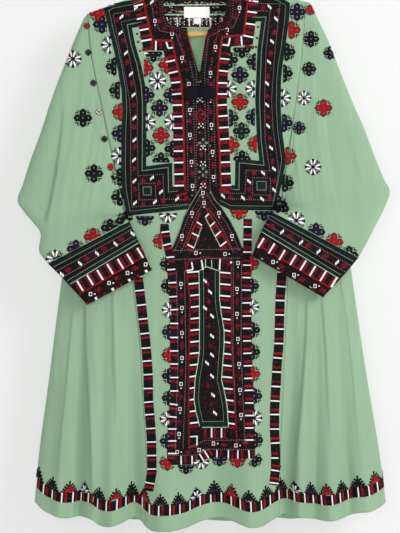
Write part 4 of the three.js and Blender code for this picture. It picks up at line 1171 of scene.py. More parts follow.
# Chest panel: its borders and what is stitched on them, on the chart
CHEST = {
    "left": {
        "sign": 1,
        "outer": spots("164,-14 133,0 112,4 104,8.5 109,30 114,50 118,70 121.5,90 122.5,110 121.5,130 "
                       "121.3,150 121,165 122,190 125,207 126,216 190,209"),
        "inner": spots("142,22 127,24.5 131,45 137,65 141,85 142.5,105 142.2,150 142,171 168,167.5 "
                       "168.5,192 178,191"),
        "outer_dots": spots("163,-3 137,10.5 113,14 118,40 122,60 126,80 129.5,100 131,125 130.5,150 "
                            "131,180 132,207 187,204"),
        "inner_dots": spots("143,17 121,22 127,45 131,65 136,90 137.5,105 137.5,150 138,176 163,174 "
                            "164,199 184,200"),
        "square_dots": spots("138.5,184 155,183 156,199.5 139,200"),
        "square": spots("143,187 151,187 151,195 143.5,195"),
        "red_line": spots("141,-10 143,0 149,25 152,40 172,40.5 176,60 181,80 183,100 184,150 185,190"),
        "rungs": (4, 17, 28.5),
        "turn": 3,
        "corner": (156,),
        "low_rungs": (60, 71, 82, 93.5, 105, 116.5, 128, 139.5, 151, 162.5, 174, 185.5),
        "red_shift": -3.8,
        "slants": spots("121.5,17 120.5,33 126,53 131,74 133.5,95 134.5,118 134.5,140 134,160 134.5,181 "
                        "135,203 155,202 177,199 152,178 161,192 136,8 152,2"),
        "blocks": spots("117,20 123,41 127,62 132,83 134,105 134,127 134.5,147 134,168.5 135,189.5 "
                        "143,204 163,201 186,198 143,180 159,183 128,13 145,6"),
        "groups": spots("155,21 172,34 182,58 189,84 190,110 190,135 191.5,162 192.5,186"),
        "foot_line": spots("176,196 187,193"),
        "corner_ground": spots("169,188 186,184 192,207 169,210"),
        "turn_bars": (("142.5,49.8 151,48.6", 3.2, "crimson"), ("160,41.5 161,48.5", 3, "crimson"),
                      ("144,53.6 147.5,53.2", 2.2, "white"), ("141,41.3 152,39.3", 2, "white"),
                      ("140,37 150.5,35.4", 3.2, "crimson"), ("166.2,42 168.2,48.2", 2, "white"),
                      ("168,48.4 173.5,47.6", 2, "white"), ("168,56.5 176,55.5", 3, "crimson")),
    },
    "right": {
        "sign": -1,
        "outer": spots("225,-20 258,-9 280,-3 290,3 289,20 287,35 285,50 282.5,65 281,80 280.5,105 "
                       "282,130 284,145 286,160 284,172 282,183 279,195 276,210.5 230,210 218,204"),
        "inner": spots("252,17.5 266,17 261.5,50 259.5,100 261.2,140 264,165.5 239.5,163 239,190 231,189"),
        "outer_dots": spots("228,-8 257,3.5 280,4 275,50 271.5,100 273,130 276,150 278.5,170 276.5,185 "
                            "274,200.5 224,198.5"),
        "inner_dots": spots("253,11 270,11 266,50 264.5,100 265,140 270,171 246,170 245,193.5 220,193"),
        "square_dots": spots("252.5,178 270.5,178 270.5,195 252.5,195"),
        "square": spots("257,181.5 266,181.5 266,190 257,190"),
        "red_line": spots("249,-10 248,0 243.5,35 222,37 220,50 217,80 216.5,105 219,140 221,190"),
        "rungs": (0.5, 11.5, 23.5),
        "turn": 2,
        "corner": (241,),
        "low_rungs": (58.5, 70.5, 83, 94, 105.5, 116.5, 128, 139.5, 151, 162.5, 174, 185.5),
        "red_shift": 3.4,
        "slants": spots("269.5,7 276,19 272,41.5 269,62 267,83.5 267,105 268,126 271,148 274,169 274,190 "
                        "263,173 249,181.5 262,199 243,198 223,196 245,-2"),
        "blocks": spots("263,8 278,11 274,32.5 270.5,54 267.5,76 267,96 267.5,117 269.5,138 272.5,161 "
                        "274,181 254,173 249,189 250,197.5 230,197.5 270,198 252,0"),
        "groups": spots("239.5,8 227,30 215.5,47 210.5,73 210.5,98 211.5,125 212.5,152 213.5,177"),
        "foot_line": spots("229,192 219,190"),
        "corner_ground": spots("234,187 219,184 214,203 234,207"),
        "turn_bars": (("245,46 254,47.5", 3.2, "crimson"), ("236,38.5 235,46", 3, "crimson"),
                      ("230,38 228.5,45", 2, "white"), ("229,45.5 222.5,44.8", 2, "white"),
                      ("243,35.5 253.5,37.5", 2, "white"), ("244,31.5 254.5,33.5", 3.2, "crimson"),
                      ("222,53 230,54.5", 3, "crimson")),
    },
}
# Flowers: size, cut, and then threads with their centres; those beside the ladders are cut
CHEST_FLOWERS = (
    (18, (0, -1, 2), "coal 153.5,53.5"), (18, None, "white 157.5,81 navy 159.5,108 red 161,135.5"),
    (18, (0, 1, 1.5), "coal 161,161"),
    (18, (-1, 0, 1), "red 145,68 navy 146,95 white 147,122 coal 147,148"),
    (18, (1, 0, 1), "red 167,65 navy 172,95 white 173,122 coal 173,149"),
    (18, (0, -1, 2), "coal 242,49.5"), (18, None, "navy 240,75 red 240,102 green 241.5,131"),
    (18, (0, 1, 1.5), "coal 242,159"),
    (18, (-1, 0, 1), "coal 229.5,60 white 228,89 navy 230,118 red 231,145"),
    (18, (1, 0, 1), "coal 255,62 white 254,89 navy 254,117 red 256,144"),
)
EDGE_FLOWERS = (
    (18.5, (1, 0, 7), "red 98,13"), (18.5, (1, 0, 5), "navy 102,24.5"), (18.5, (1, 0, 1), "white 110,45"),
    (18.5, (1, 0, 2), "coal 114.5,66.5 118,90.5"),
    (18.5, (1, 0, 1), "red 121,112 navy 120.5,133.5 white 120,156"),
    (18.5, (1, 0, 2), "coal 120,177"), (18.5, (1, 0, 3), "coal 120,197"),
    (18.5, (-1, 0, 7), "navy 297,12"), (18.5, (-1, 0, 3), "red 291.5,30"),
    (18.5, (-1, 0, 2), "coal 286.5,52"), (18.5, (-1, 0, 1), "coal 284,73.5 white 282,98"),
    (18.5, (-1, 0, 2), "navy 284,123 red 287.5,156"), (18.5, (-1, 0, 3), "coal 285,183"),
    (18.5, (-1, 0, 2), "coal 278,204"),
    (18.5, (0, -1, 1), "navy 145,217 white 168,214 red 239,211 navy 264,212"),
)
SLEEVE_FLOWERS = {
    "left": ((18, None, "white 73,59"), (19, None, "coal 83,118 94,173.5"),
             (7, None, "red 87,26 coal 88.5,52.5 navy 93.5,83 white 99,112 coal 104.5,139"),
             (8, None, "red 111,167")),
    "right": ((11, None, "red 310,10"), (14, None, "coal 330,53"), (17, None, "coal 311,39"),
              (15, None, "coal 309,69 white 304,98"), (14, None, "navy 299,128"),
              (18, None, "red 323.5,108"), (17, None, "white 313,167")),
}
POCKET_FLOWERS = (
    (17, (1, 0, 1), "red 161,241 170,355 coal 168,264 169,286 170,376 170,398 white 170,310 168,419 "
                    "navy 170,332 168,441"),
    (17, (-1, 0, 1), "red 251,263 252,374 navy 251,286 254,396 white 251,307 254,418 "
                     "coal 252,330 252,352 255,440"),
    (17, (0, -1, 1), "coal 186,466 white 201,461 navy 219.5,458 red 237.5,459.5"),
    (17, (0.7, -0.7, 2), "red 167.5,462.5"), (16, (-0.7, -0.7, 2), "coal 254.5,459.5"),
)
SMALL_DOTS = spots("137,34 138,42 140,51 258,27 257,38 256,47")

PLACKET = {
    "outline": spots("185,44 186,100 187,150 188,194 190,207 216,202 218,190 215.5,140 213.5,105 215,60 "
                     "217,44 205,44 200,73 198.2,73 190,44"),
    "dots": (spots("187,34 196.5,72 196,192"), spots("209,34 204.5,72 206,188"),
             spots("190,62 193.5,80 194,120 195,190"), spots("212,62 208,80 208,120 210,188"),
             spots("187,80 187,120 188,190"), spots("214,80 214,120 216,186")),
    "diamonds": spots("190,97 190,122 191,149 192,174 211,85 211,112 212,139 213,165 201,92 201,154"),
}

# Pocket
POCKET = {
    "outline": spots("203,186 196.5,193 189,206 183,218 179,232 172,247 160,232 160.5,224 168,224 "
                     "170,238 171,246 166,257 168,280 169,296 170,310 170,400 168,420 167,447 167,465 "
                     "197,464.5 207,458.5 250,458 255,457 255,440 254,400 252,350 251,290 252,257 "
                     "242,247 237,234 231,222 222,208 214,199 210,190"),
    "left_piping": spots("200,189 190,206 184,217 179,232 172,248"),
    "right_piping": spots("210,190 214,199 222,208 231,222 237,234 242,247"),
    "left_leg_dots": spots("202,193 193,208 187,220 182,234 175,250"),
    "right_leg_dots": spots("207,193 212,203 219,212 228,226 234,238 239,250"),
    "left_red": spots("200,213 192,232 185,248"),
    "right_red": spots("205,207 218,228 231,248"),
    "groups": spots("203,193 204,203 192,213 182,236 219,213 232,236"),
    "triangle_rungs": ("197,222 202,225.5", "192,233 199,236.5", "187.5,244.5 194,248",
                       "209,213.5 205.5,217", "215,222 210,226.5", "221,231 215,236.5",
                       "226.5,241.5 220,246.5"),
    "inner_lines": (spots("205,217 220,246"), spots("201.5,227 194,248")),
    "left_ladder": spots("160.5,226 163,245 166,257 168,280 169,296 170,310 170,400 168,420 168,456"),
    "right_ladder": spots("243.5,219 243,257 242,290 243,350 245,400 245,451"),
    "left_rungs": (232.5, 245.5, 257.5, 270, 283, 297, 310, 323.5, 337.5, 351, 364, 377.5, 391, 404,
                   416.5, 429, 441, 453.5),
    "right_rungs": (227, 239.5, 252, 265, 277.5, 290, 303, 316, 328.5, 341, 353.5, 366, 378.5, 390.5,
                    403, 415.5, 428, 440),
    "left_red_line": spots("184.5,259 190,300 188.5,380 189,446"),
    "right_red_line": spots("231.5,259 231.5,340 234,390 237,440"),
    "left_inner": spots("199,271 199.5,300 199.5,350 198,363 195,380 194,400 196,412 199.5,426"),
    "right_inner": spots("219.5,271 219.5,300 221,312 224,330 224,345 222.5,365 221.5,380 224,390 "
                         "227,405 228.5,427"),
    "gable": spots("199,271 206,266.5 219.5,271"),
}

STRIPS = {
    "left": {
        "middle": spots("137.2,256 138.5,280 142,310 146,345 148.2,375 148.5,400 150.2,420 151.5,440 "
                        "152,472 148.5,491"),
        "rungs": (263, 276.5, 290.5, 305, 319, 333.5, 348, 361, 374.5, 388.5, 402, 414.5,
                  428.5, 442, 455.5, 469, 483),
        "red_shift": 4.2,
    },
    "right": {
        "middle": spots("282.2,252 281.5,280 280,300 279.3,330 278.8,345 277,365 276,385 274.5,410 "
                        "274.5,430 275.8,455 275.5,470 273.5,485"),
        "rungs": (258, 272, 286.5, 300.5, 315, 329, 343.5, 358, 372, 386.5, 401, 414.5,
                  429, 443, 458, 470.5, 483),
        "red_shift": -4.6,
    },
}
STRIP_HALF = 4.7
# The cuff's length in chart units, and the share of its width left bare at the ends of its bands
CUFF_LENGTH = 53
CUFF_MARGIN = 0.012
CUFF_WORK = {
    "left": {
        "slants": spots("132.5,234 115.5,244 97,253.5 80,263.5 62,274.5"),
        "blocks": spots("121.5,239 104,249 86,259 68,270"),
        "rungs": spots("137,248 127,254 117.5,259 107,264 97,270 87,275 77,281"),
        "groups": spots("145.5,264.5 127.5,273 109,283 90.5,294"),
        "flowers": "coal 125,221 110,228 red 93,237 navy 76,249 white 55,259",
    },
    "right": {
        "slants": spots("282,232 301,242.5 318.5,251.5 337,262.5"),
        "blocks": spots("271,226 290,236 308,245.5 325.5,256 344,266"),
        "rungs": spots("264,238 274.5,243.5 285,250 296,255 306,260.5 315.5,266 326,271 337,277"),
        "groups": spots("273,262 294,275 315,286"),
        "flowers": "coal 280,209 white 296,221 navy 316,232 red 334,242 coal 349,255",
    },
}
HEM_COLOURS = ("coal coal red white navy red coal red coal coal white navy red coal coal coal white "
               "navy red").split()
# How many points the grids have across and down, and the points that tell which way is out
FRONT_CELLS = (104, 230)
BACK_CELLS = (84, 190)
SIDE_CELLS = (96, 140)
SLEEVE_CELLS = (100, 70)
CUFF_CELLS = (24, 60)
PANEL_SPOT = (100, 40)
SIDE_SPOT_ROW = 70


def grids():
    """The outside faces of every cloth piece, made on first use."""
    if not GRIDS:
        GRIDS["front"] = panel_grid(-1, *FRONT_CELLS)
        GRIDS["back"] = panel_grid(1, *BACK_CELLS)
        for edge in ("left", "right"):
            GRIDS["side_" + edge] = side_grid(edge, *SIDE_CELLS)
            GRIDS["sleeve_" + edge] = sleeve_grid(edge, *SLEEVE_CELLS)
            GRIDS["cuff_" + edge] = cuff_grid(edge, *CUFF_CELLS)
    return GRIDS


def chart_over(*names, side=-1):
    """A chart over grids given by name; the sleeves and cuffs are rings."""
    if names not in TREES:
        made = grids()
        TREES[names] = tree_of(*((made[name], name.startswith(("sleeve", "cuff"))) for name in names))
    return Chart(TREES[names], side)


def cut_away(obj, outline, low, high):
    """Cuts a prism over a chart outline, between two depths, out of a shell."""
    points = []
    for y in (low, high):
        points.extend(((x - CHART_X) * UNIT, y, -(v - CHART_Y) * UNIT) for x, v in outline)
    count = len(outline)
    faces = [tuple(range(count)), tuple(range(2 * count - 1, count - 1, -1))]
    for k in range(count):
        after = (k + 1) % count
        faces.append((k, k + count, after + count, after))
    cutter = make_mesh("cutter", points, faces)
    change = obj.modifiers.new("cut", "BOOLEAN")
    change.operation = "DIFFERENCE"
    change.object = cutter
    change.solver = "EXACT"
    bpy.context.view_layer.update()
    made = bpy.data.meshes.new_from_object(obj.evaluated_get(bpy.context.evaluated_depsgraph_get()))
    if len(made.polygons) < len(obj.data.polygons) * 0.5:
        raise RuntimeError(f"the cut of {obj.name} went wrong")
    obj.modifiers.clear()
    obj.data = made
    bpy.data.objects.remove(cutter)


def build_body_cloth():
    material = cloth_material()
    for name, side, neck, low, high in (("front", -1, FRONT_NECK, -0.2, 0.0),
                                        ("back", 1, BACK_NECK, 0.0, 0.2)):
        grid = grids()[name]
        normals = outward_normals(grid, PANEL_SPOT, 1, side)
        piece = shell(name + "_cloth", grid, inner_grid(grid, normals, np.full(grid.shape[:2], side)))
        cut_away(piece, neck, low, high)
        finish_piece(piece, [name + "_panel"], material)
    for edge, towards in (("left", -1), ("right", 1)):
        grid = grids()["side_" + edge]
        middle = grid.shape[1] // 2
        normals = outward_normals(grid, (SIDE_SPOT_ROW, middle), 0, towards)
        sides = np.zeros(grid.shape[:2])
        sides[:, :middle] = -1
        sides[:, middle + 1:] = 1
        piece = shell("side_cloth_" + edge, grid, inner_grid(grid, normals, sides))
        finish_piece(piece, ["side_panel_" + edge], material)


def build_sleeves():
    made = grids()
    for edge in ("left", "right"):
        inner = sleeve_grid(edge, *SLEEVE_CELLS, SHELL)
        piece = shell("sleeve_cloth_" + edge, made["sleeve_" + edge], inner, True)
        finish_piece(piece, ["sleeve_" + edge], cloth_material())
        inner = cuff_grid(edge, *CUFF_CELLS, SHELL)
        piece = shell("cuff_cloth_" + edge, made["cuff_" + edge], inner, True)
        finish_piece(piece, ["cuff_" + edge], thread_material("black"))


def chest_side(work, part):
    sign = part["sign"]

    def band(path, a, b, thread, height):
        work.ribbon(part[path], a * sign, b * sign, thread, height)

    work.ground(part["outer"] + part["inner"][::-1], "black", 0.8)
    work.ground(part["corner_ground"], "black", 0.76)
    band("outer", 0, 3.7, "green", 1.3)
    band("outer", 4.0, 4.6, "grey", 1.8)
    band("outer", 5.2, 8.8, "brown", 1.3)
    work.dots(part["outer_dots"])
    work.dots(part["inner_dots"])
    work.dots(part["square_dots"], closed=True)
    band("inner", -4.2, -0.6, "brown", 1.3)
    band("inner", -0.4, 0.3, "grey", 1.8)
    band("inner", 0.5, 4.2, "green", 1.3)
    work.patch(part["square"], "green", 1.5, shrink=0.9)
    work.ribbon(part["square"], -0.4, 0.5, "grey", 1.9, closed=True)
    each(part["blocks"], work.block)
    each(part["slants"], work.slanted, sign)
    line = part["red_line"]
    work.ribbon(line, -0.9 * sign, 1.1 * sign, "red", 1.9)
    a, b = -1.0 * sign, -10.4 * sign
    work.ribbon(line, a, b, "black", 1.0)
    turn = part["turn"]
    stretches = ((line[:turn + 1], part["rungs"], 1), (line[turn:turn + 2], part["corner"], 0),
                 (line[turn + 1:], part["low_rungs"], 1))
    for stretch, levels, axis in stretches:
        work.rungs(stretch, a, b, levels, 3.3, "crimson", 1.6, part["red_shift"], axis)
        work.rungs(stretch, a, b, levels, axis=axis)
    for text, thick, thread in part["turn_bars"]:
        work.rung(*spots(text), thick, thread, 1.9 if thread == "white" else 1.6)
    each(part["groups"], work.group)
    work.ribbon(part["foot_line"], -1.1, 1.1, "red", 1.9)


def build_chest():
    work = Work("chest_stitching", chart_over(*FRONT))
    for part in CHEST.values():
        chest_side(work, part)
    left, right = CHEST["left"]["red_line"], CHEST["right"]["red_line"]
    centre = left + spots("190,208 217,203") + right[::-1]
    neck = [p for p in FRONT_NECK if p[1] > -12]
    work.ground(centre + neck[::-1], "black", 0.8)
    for text in ("150,-6 154,18 160,31 176,34 184,56", "241,-8 239,14 233,28 219,30 213,50"):
        work.dots(spots(text))
    for text in ("158,-8 161,18 165,28 178,31 186,33", "232,-10 230,16 225,26 214,31 209,34"):
        work.dots(spots(text), "crimson", pitch=3.2, size=1.6)
        work.dots(spots(text), "grey", d=2.4, pitch=2.6)
    for text in ("152,-4 157,14 161,26 171,31 180,36 187,70", "237,-8 236,16 228,31 217,34 210,68"):
        for k, (at, _) in enumerate(evenly(spots(text), 9)):
            work.diamond(*at, "maroon" if k % 3 else "crimson", 4.4, 6.5)
    work.flowers(*CHEST_FLOWERS)
    for x, y in SMALL_DOTS:
        work.dot((x, y), "black", 2.0, 1.4)
    work.build("chest_panel_left", "chest_panel_right")


def build_placket():
    work = Work("placket_stitching", chart_over(*FRONT))
    work.ground(PLACKET["outline"], "black", 1.0, 0.3)
    for path in PLACKET["dots"]:
        work.dots(path, pitch=2.6, height=1.8)
    each(PLACKET["diamonds"], work.diamond, "crimson", 4.5, 9, 1.9)
    rng = random.Random(11)
    for _ in range(120):
        x, y = rng.uniform(187, 214), rng.uniform(78, 196)
        work.dot((x, y), rng.choice(("maroon", "crimson", "green", "maroon", "grey")), 1.5, 1.5)
    for x, y in spots("200,100 201,126 203,148 203,164 203,186"):
        for dx, dy in ((-1.8, -2), (1.8, -2), (-2.4, 1.6), (2.4, 1.6), (0, 0.2)):
            work.dot((x + dx, y + dy), "white", 1.5, 2.3)
    for x, y in spots("203,143 203,172"):
        for quarter in range(4):
            petal = turned([(0, 1), (1.6, 3.4), (0, 5.6), (-1.6, 3.4)], quarter)
            work.patch([(x + px, y + py) for px, py in petal], "grey", 2.0)
    work.ribbon(spots("200.5,109 205.5,116 200.5,123.5 195.5,116"), -0.8, 0.8, "red", 2.3, closed=True)
    work.diamond(200.5, 116, "maroon", 5, 8, height=2.1)
    work.diamond(203, 183, "red", 5, 5, height=2.2)
    for text in ("188,36 191,50 194,60", "208.5,36 205.5,50 203.5,60"):
        work.ribbon(spots(text), -0.7, 0.7, "crimson", 2.2)
    work.build("neck_placket")


def ladder(work, path, a, b, levels, bar_shift):
    """A ladder beside a path: a dark ground with white rungs and red bars."""
    work.ribbon(path, a, b, "black", 1.1)
    for k, level in enumerate(levels):
        bar = "red" if k % 3 == 1 else "crimson"
        for shift, thick, thread, height in ((bar_shift, 2.9, bar, 1.6), (0, 1.8, "white", 1.9)):
            work.rungs(path, a + 0.1, b - 0.1, [level], thick, thread, height, shift)


def build_pocket():
    part = POCKET
    work = Work("pocket_stitching", chart_over(*FRONT))
    work.ground(part["outline"], "black", 0.8)
    for name in ("left_piping", "right_piping"):
        work.ribbon(part[name], -0.5, 0.5, "grey", 1.9)
    for name, sign in (("left_leg_dots", 1), ("right_leg_dots", -1)):
        work.dots(part[name])
        work.dots(part[name], "maroon", d=3.2 * sign, pitch=4.2, size=2.2)
        work.dots(part[name], d=6.2 * sign)
    for name in ("left_red", "right_red"):
        work.ribbon(part[name], -1, 1, "red", 1.9)
    each(part["groups"], work.group)
    for text in part["triangle_rungs"]:
        (ax, ay), (bx, by) = spots(text)
        work.rung((ax, ay + 4), (bx, by + 4), 3.2, "crimson", 1.6)
        work.rung((ax, ay), (bx, by), 1.8, "white", 1.9)
    for path in part["inner_lines"]:
        work.ribbon(path, -0.5, 0.5, "pale", 1.8)
    ladder(work, part["left_ladder"], 0, 8.3, part["left_rungs"], 4.2)
    ladder(work, part["right_ladder"], 0, 8.6, part["right_rungs"], -4.2)
    for name in ("left_red_line", "right_red_line"):
        work.ribbon(part[name], -1, 1, "crimson", 1.9)
    lines = (("left_red_line", 444), ("left_inner", 425), ("right_inner", 425), ("right_red_line", 438))
    for level in (272 + 11.6 * k for k in range(14)):
        ends = [at_level(part[name], min(level, lowest), 1)[0][0] for name, lowest in lines]
        for a, b, tilt, y in ((ends[0] + 1, ends[1], 1.0, level), (ends[2], ends[3] - 1, -1.0, level + 0.8)):
            for drop, thick, thread, height in ((3.9, 3.0, "crimson", 1.6), (0, 1.9, "white", 1.9)):
                work.rung((a, y + drop + tilt / 2), (b, y + drop - tilt / 2), thick, thread, height)
    for name, sign in (("left_inner", 1), ("right_inner", -1)):
        work.ribbon(part[name], -0.6 * sign, 0.5 * sign, "pale", 1.9)
        work.ribbon(part[name], 0.6 * sign, 3.4 * sign, "green", 1.3)
        work.ribbon(part[name], 4.0 * sign, 4.6 * sign, "grey", 1.5)
    work.ribbon(part["gable"], -0.6, 0.5, "pale", 1.9)
    for text in ("191.5,262 193,269.5", "193,269.5 186,271", "201.5,260 203,270", "220,259 219.5,270"):
        work.rung(*spots(text), 1.8, "white", 1.9)
    for y in (249.5, 258.5):
        work.dots([(174, y + 1), (205, y), (240, y - 0.5)])
    each(spots("196,253 225,254"), work.group, True)
    columns = ((180.5, 272, 448, (1.5, -1.5), "181,284 182,308 182,333 182,358 181,384 180,409 179,434"),
               (237.5, 262, 442, (-0.5, 3.5), "238,263 237,289 237,314 238,339 239,364 240,390 241,415"))
    for x, top, bottom, lean, groups in columns:
        for side in (x - 4, x + 4):
            work.dots([(side, top), (side + lean[0], (top + bottom) / 2), (side + lean[1], bottom)])
        placed = spots(groups)
        for (gx, gy), (nx, ny) in zip(placed, placed[1:]):
            work.group(gx, gy)
            work.diamond((gx + nx) / 2, (gy + ny) / 2, "maroon", 5, 11, height=1.7)
        work.group(*placed[-1])
    for text in ("189,447.5 204,440.5 246,440", "168,455.5 197,455 207,449 254,449.5"):
        work.dots(spots(text))
    each(spots("177,452 199,450 213.5,443.5 236,445.5"), work.group, True)
    each(spots("188,452 224,444.5 246,443"), work.diamond, "maroon", 10, 5, 1.7)
    foot = spots("168,460.5 197,460 207,454 246,454.5 255,454")
    work.ribbon(foot, -4.3, 4.3, "black", 1.2)
    for x in (181, 192, 201.5, 206.5, 217, 228.5, 238, 249):
        for shift, thick, thread, height in ((4.2, 2.8, "crimson", 1.7), (0, 1.8, "white", 2.0)):
            work.rungs(foot, 4.2, -4.2, [x], thick, thread, height, shift, 0)
    for x in (211.6, 221.6):
        work.rung((x, 428), (x, 437.5), 1.8, "white", 1.9)
        for shift in (-6.5, 3):
            work.rung((x + shift, 428), (x + shift, 437.5), 2.6, "crimson", 1.7)
    for text, half, thread, height in (
            ("188.8,446.4 197,446.4", 1, "red", 1.9), ("190,436.8 197,436.2 196.8,445.4", 0.8, "white", 2),
            ("204,438.6 229,438.2", 0.6, "crimson", 1.8), ("202,427.3 228,427.2", 0.5, "pale", 1.9),
            ("200,424.4 226,424.2", 1.7, "green", 1.5), ("202,421.6 224,421.4", 0.4, "grey", 1.6),
            ("184.5,262.5 204,256.5 231.5,261", 0.8, "crimson", 1.8)):
        work.ribbon(spots(text), -half, half, thread, height)
    for text in ("205.5,259 205.5,268", "211.5,260 212,269"):
        work.rung(*spots(text), 1.1, "pale", 1.9)
    each(spots("187,265 228.5,264"), work.diamond, "crimson", 5, 6)
    work.dot((231, 262.5), "white", 2.4, 2.3)
    each(spots("205,281 210,292 205,308 212,316 212,336 212,355 207,363 212,376 213,395 215,413"),
         work.slanted, -0.4)
    each(spots("209,302 209,326 210,346 208,386 211,404 208,285"), work.diamond, "maroon", 5, 7, 1.8)
    work.flowers(*POCKET_FLOWERS)
    work.build("pocket")


def build_strips():
    for edge, part in STRIPS.items():
        work = Work("strip_stitching_" + edge, chart_over(*FRONT))
        ladder(work, part["middle"], -STRIP_HALF, STRIP_HALF, part["rungs"], part["red_shift"])
        work.build("strip_" + edge)


def build_cuffs():
    for edge, part in CUFF_WORK.items():
        sign, ends = (1, ("outer", "inner")) if edge == "left" else (-1, ("inner", "outer"))

        def line(depth):
            """A line across the cuff at a depth from its top edge, in chart units."""
            at = depth / CUFF_LENGTH * 3
            row = {name: np.interp(at, range(4), column) for name, column in CUFFS[edge].items()}
            a, b = (np.array(to_chart(row[end + "_x"], row[end + "_drop"])) for end in ends)
            return [tuple(a + (b - a) * CUFF_MARGIN), tuple(b + (a - b) * CUFF_MARGIN)]

        for side, face in ((-1, "front"), (1, "back")):
            work = Work(f"cuff_stitching_{edge}_{face}", chart_over("cuff_" + edge, side=side))
            for low, high, thread, height in (
                    (0.5, 4, "green", 1.2), (4, 4.8, "grey", 1.6), (5, 8, "brown", 1.2),
                    (19, 22, "brown", 1.2), (22.2, 23, "grey", 1.6), (23.2, 26.4, "green", 1.2),
                    (26.6, 27.4, "pale", 1.7), (39.6, 41.2, "red", 1.7), (42.2, 43.4, "brown", 1.3)):
                middle = (np.array(line(low)) + np.array(line(high))) / 2
                work.ribbon(middle, (high - low) * -0.5, (high - low) * 0.5, thread, height)
            for depth in (9.3, 17.6):
                work.dots(line(depth))
            way = np.array(line(33)[1]) - np.array(line(33)[0])
            way = way / np.hypot(*way)
            down = -left_of(way)
            each(part["blocks"], work.block, wide=6.6, tall=6)
            each(part["slants"], work.slanted, -0.5 * sign)
            for x, y in part["rungs"]:
                top = np.array((x, y))
                for along, thick, thread, height in ((0, 2.0, "white", 1.8), (2.6, 2.4, "crimson", 1.5),
                                                     (-2.9, 1.6, "crimson", 1.5)):
                    foot = top + way * along
                    work.rung(foot, foot + down * 11.6, thick, thread, height)
            for x, y in part["groups"]:
                work.group(x, y, True)
                work.diamond(x + way[0] * 9, y + way[1] * 9, "maroon", 9, 6, height=1.7)
            for k, (at, unit) in enumerate(evenly(line(51.6), 4.6)):
                work.dot(at, ("crimson", "black", "white", "maroon")[k % 4], 3.2 - k % 2, 1.8, unit)
            work.build()
        top = Work("cuff_flowers_" + edge, chart_over("sleeve_" + edge, "front"))
        top.flowers((19, (0.46 * sign, 0.89, 2.2), part["flowers"]))
        top.build()


def build_hem():
    work = Work("hem_stitching", HemLoop())
    low, high = -15.3, -25.5
    length = work.chart.length
    middle = (low + high) / 2
    count = int(length / 3.0)
    path = [(length * k / count, middle) for k in range(count + 1)]
    work.ribbon(path, -4.9, 4.9, "black", 1.1, step=9)
    rungs = int(round(length / 11.2))
    pitch = length / rungs
    for k in range(rungs):
        x = (k + 0.35) * pitch
        work.rung((x + 4, middle + 4.6), (x + 4, middle - 4.6), 2.9, "crimson" if k % 3 else "red", 1.7)
        work.rung((x, middle + 4.9), (x, middle - 4.9), 1.8, "white", 2.0)
    trees = int(round(length / 19.5))
    for k in range(trees):
        x = (k + 0.3) * length / trees
        thread = HEM_COLOURS[k % len(HEM_COLOURS)]
        for size, paint, height in ((1.16, "coal", 1.3), (0.98, thread, 1.7)):
            if paint != "white":
                tree = [(x + px * size, high + 1 + py * size) for px, py in TREE]
                work.patch(tree, paint, height, 0.94, (x, high - 2))
        if thread == "white":
            work.flower(x, high, "white", size=14, cut=(0, 1, 1))
        else:
            work.dots([(x - 3, high - 1.5), (x + 3, high - 1.5)], pitch=3, height=2.1)
            for px, py in TREE_KNOTS:
                for knot_x in (x + px, x - px):
                    work.dot((knot_x, high + py), "coal", 2.1, 1.4)
    work.build("hem_band_front", "hem_band_back", "hem_band_left", "hem_band_right")


def build_neck_back():
    back = grids()["back"]
    work = Work("neck_band_stitching", chart_over("back", side=1))
    low = spots("150,21 190,29 206,29 236,20")
    rim = spots("151,-21 163.5,-14 172,-10 186,-7 201,-7 216,-10.5 226,-17 239,-20")
    work.ground(rim + low[::-1], "brown", 0.9)
    work.ribbon(low, 0.4, 3.4, "green", 1.4)
    work.ribbon(low, 3.8, 4.7, "grey", 1.8)
    for d in (8, 18):
        work.dots(low, d=d)
    for k, (at, unit) in enumerate(evenly(low, 10.5, 5)):
        x, y = at + left_of(unit) * 13
        if k % 2:
            work.diamond(x, y, "crimson", 6, 6)
        else:
            work.slanted(x, y, 0.5)
    for (x, y), _ in evenly(low, 11, 3):
        work.rung((x, y - 20), (x, y - 29), 2.0, "white", 1.8)
        work.rung((x + 4, y - 20), (x + 4, y - 29), 3.0, "crimson", 1.6)
    work.build("back_neck_band")

    inside = back - outward_normals(back, PANEL_SPOT, 1, 1) * SHELL
    reverse = Work("neck_reverse", Chart(tree_of((inside, False))))
    reverse.ground(spots("160,-13 164,-12 186,-6 201,-6 216,-9 229,-16 231,27 160,27"), "black",
                   0.4, 0.05)
    rng = random.Random(7)
    rows = (("pale", "white", "grey"), ("maroon", "black", "crimson"), ("green", "black", "pale"),
            ("maroon", "crimson", "navy"), ("grey", "pale", "green"))
    for row, y in enumerate(np.arange(-4, 26, 1.6)):
        for x in np.arange(161 + (row % 2) * 1.2, 229, 2.6):
            if rng.random() < 0.78:
                at = np.array((x + rng.uniform(-0.8, 0.8), y + rng.uniform(-0.4, 0.4)))
                lean = np.array((rng.uniform(0.7, 1.4), rng.uniform(-0.7, 0.7)))
                reverse.rung(at - lean, at + lean, 0.9, rng.choice(rows[row % 5]), 0.8)
    reverse.ribbon(spots("161,14.8 229,14.2"), -0.9, 0.9, "pale", 0.9)
    reverse.ribbon(spots("162,5.4 229,4.6"), -0.7, 0.7, "pale", 0.9)
    for x in (167, 177, 189, 199.5, 210, 222):
        reverse.rung((x, 17.4), (x + 0.5, 26.5), 1.5, "white", 1.2)
    for y in (18.8, 21.8, 24.6):
        reverse.dots([(162, y), (229, y - 0.4)], "white", pitch=4.6, size=1.2, height=1.0)
    reverse.build()


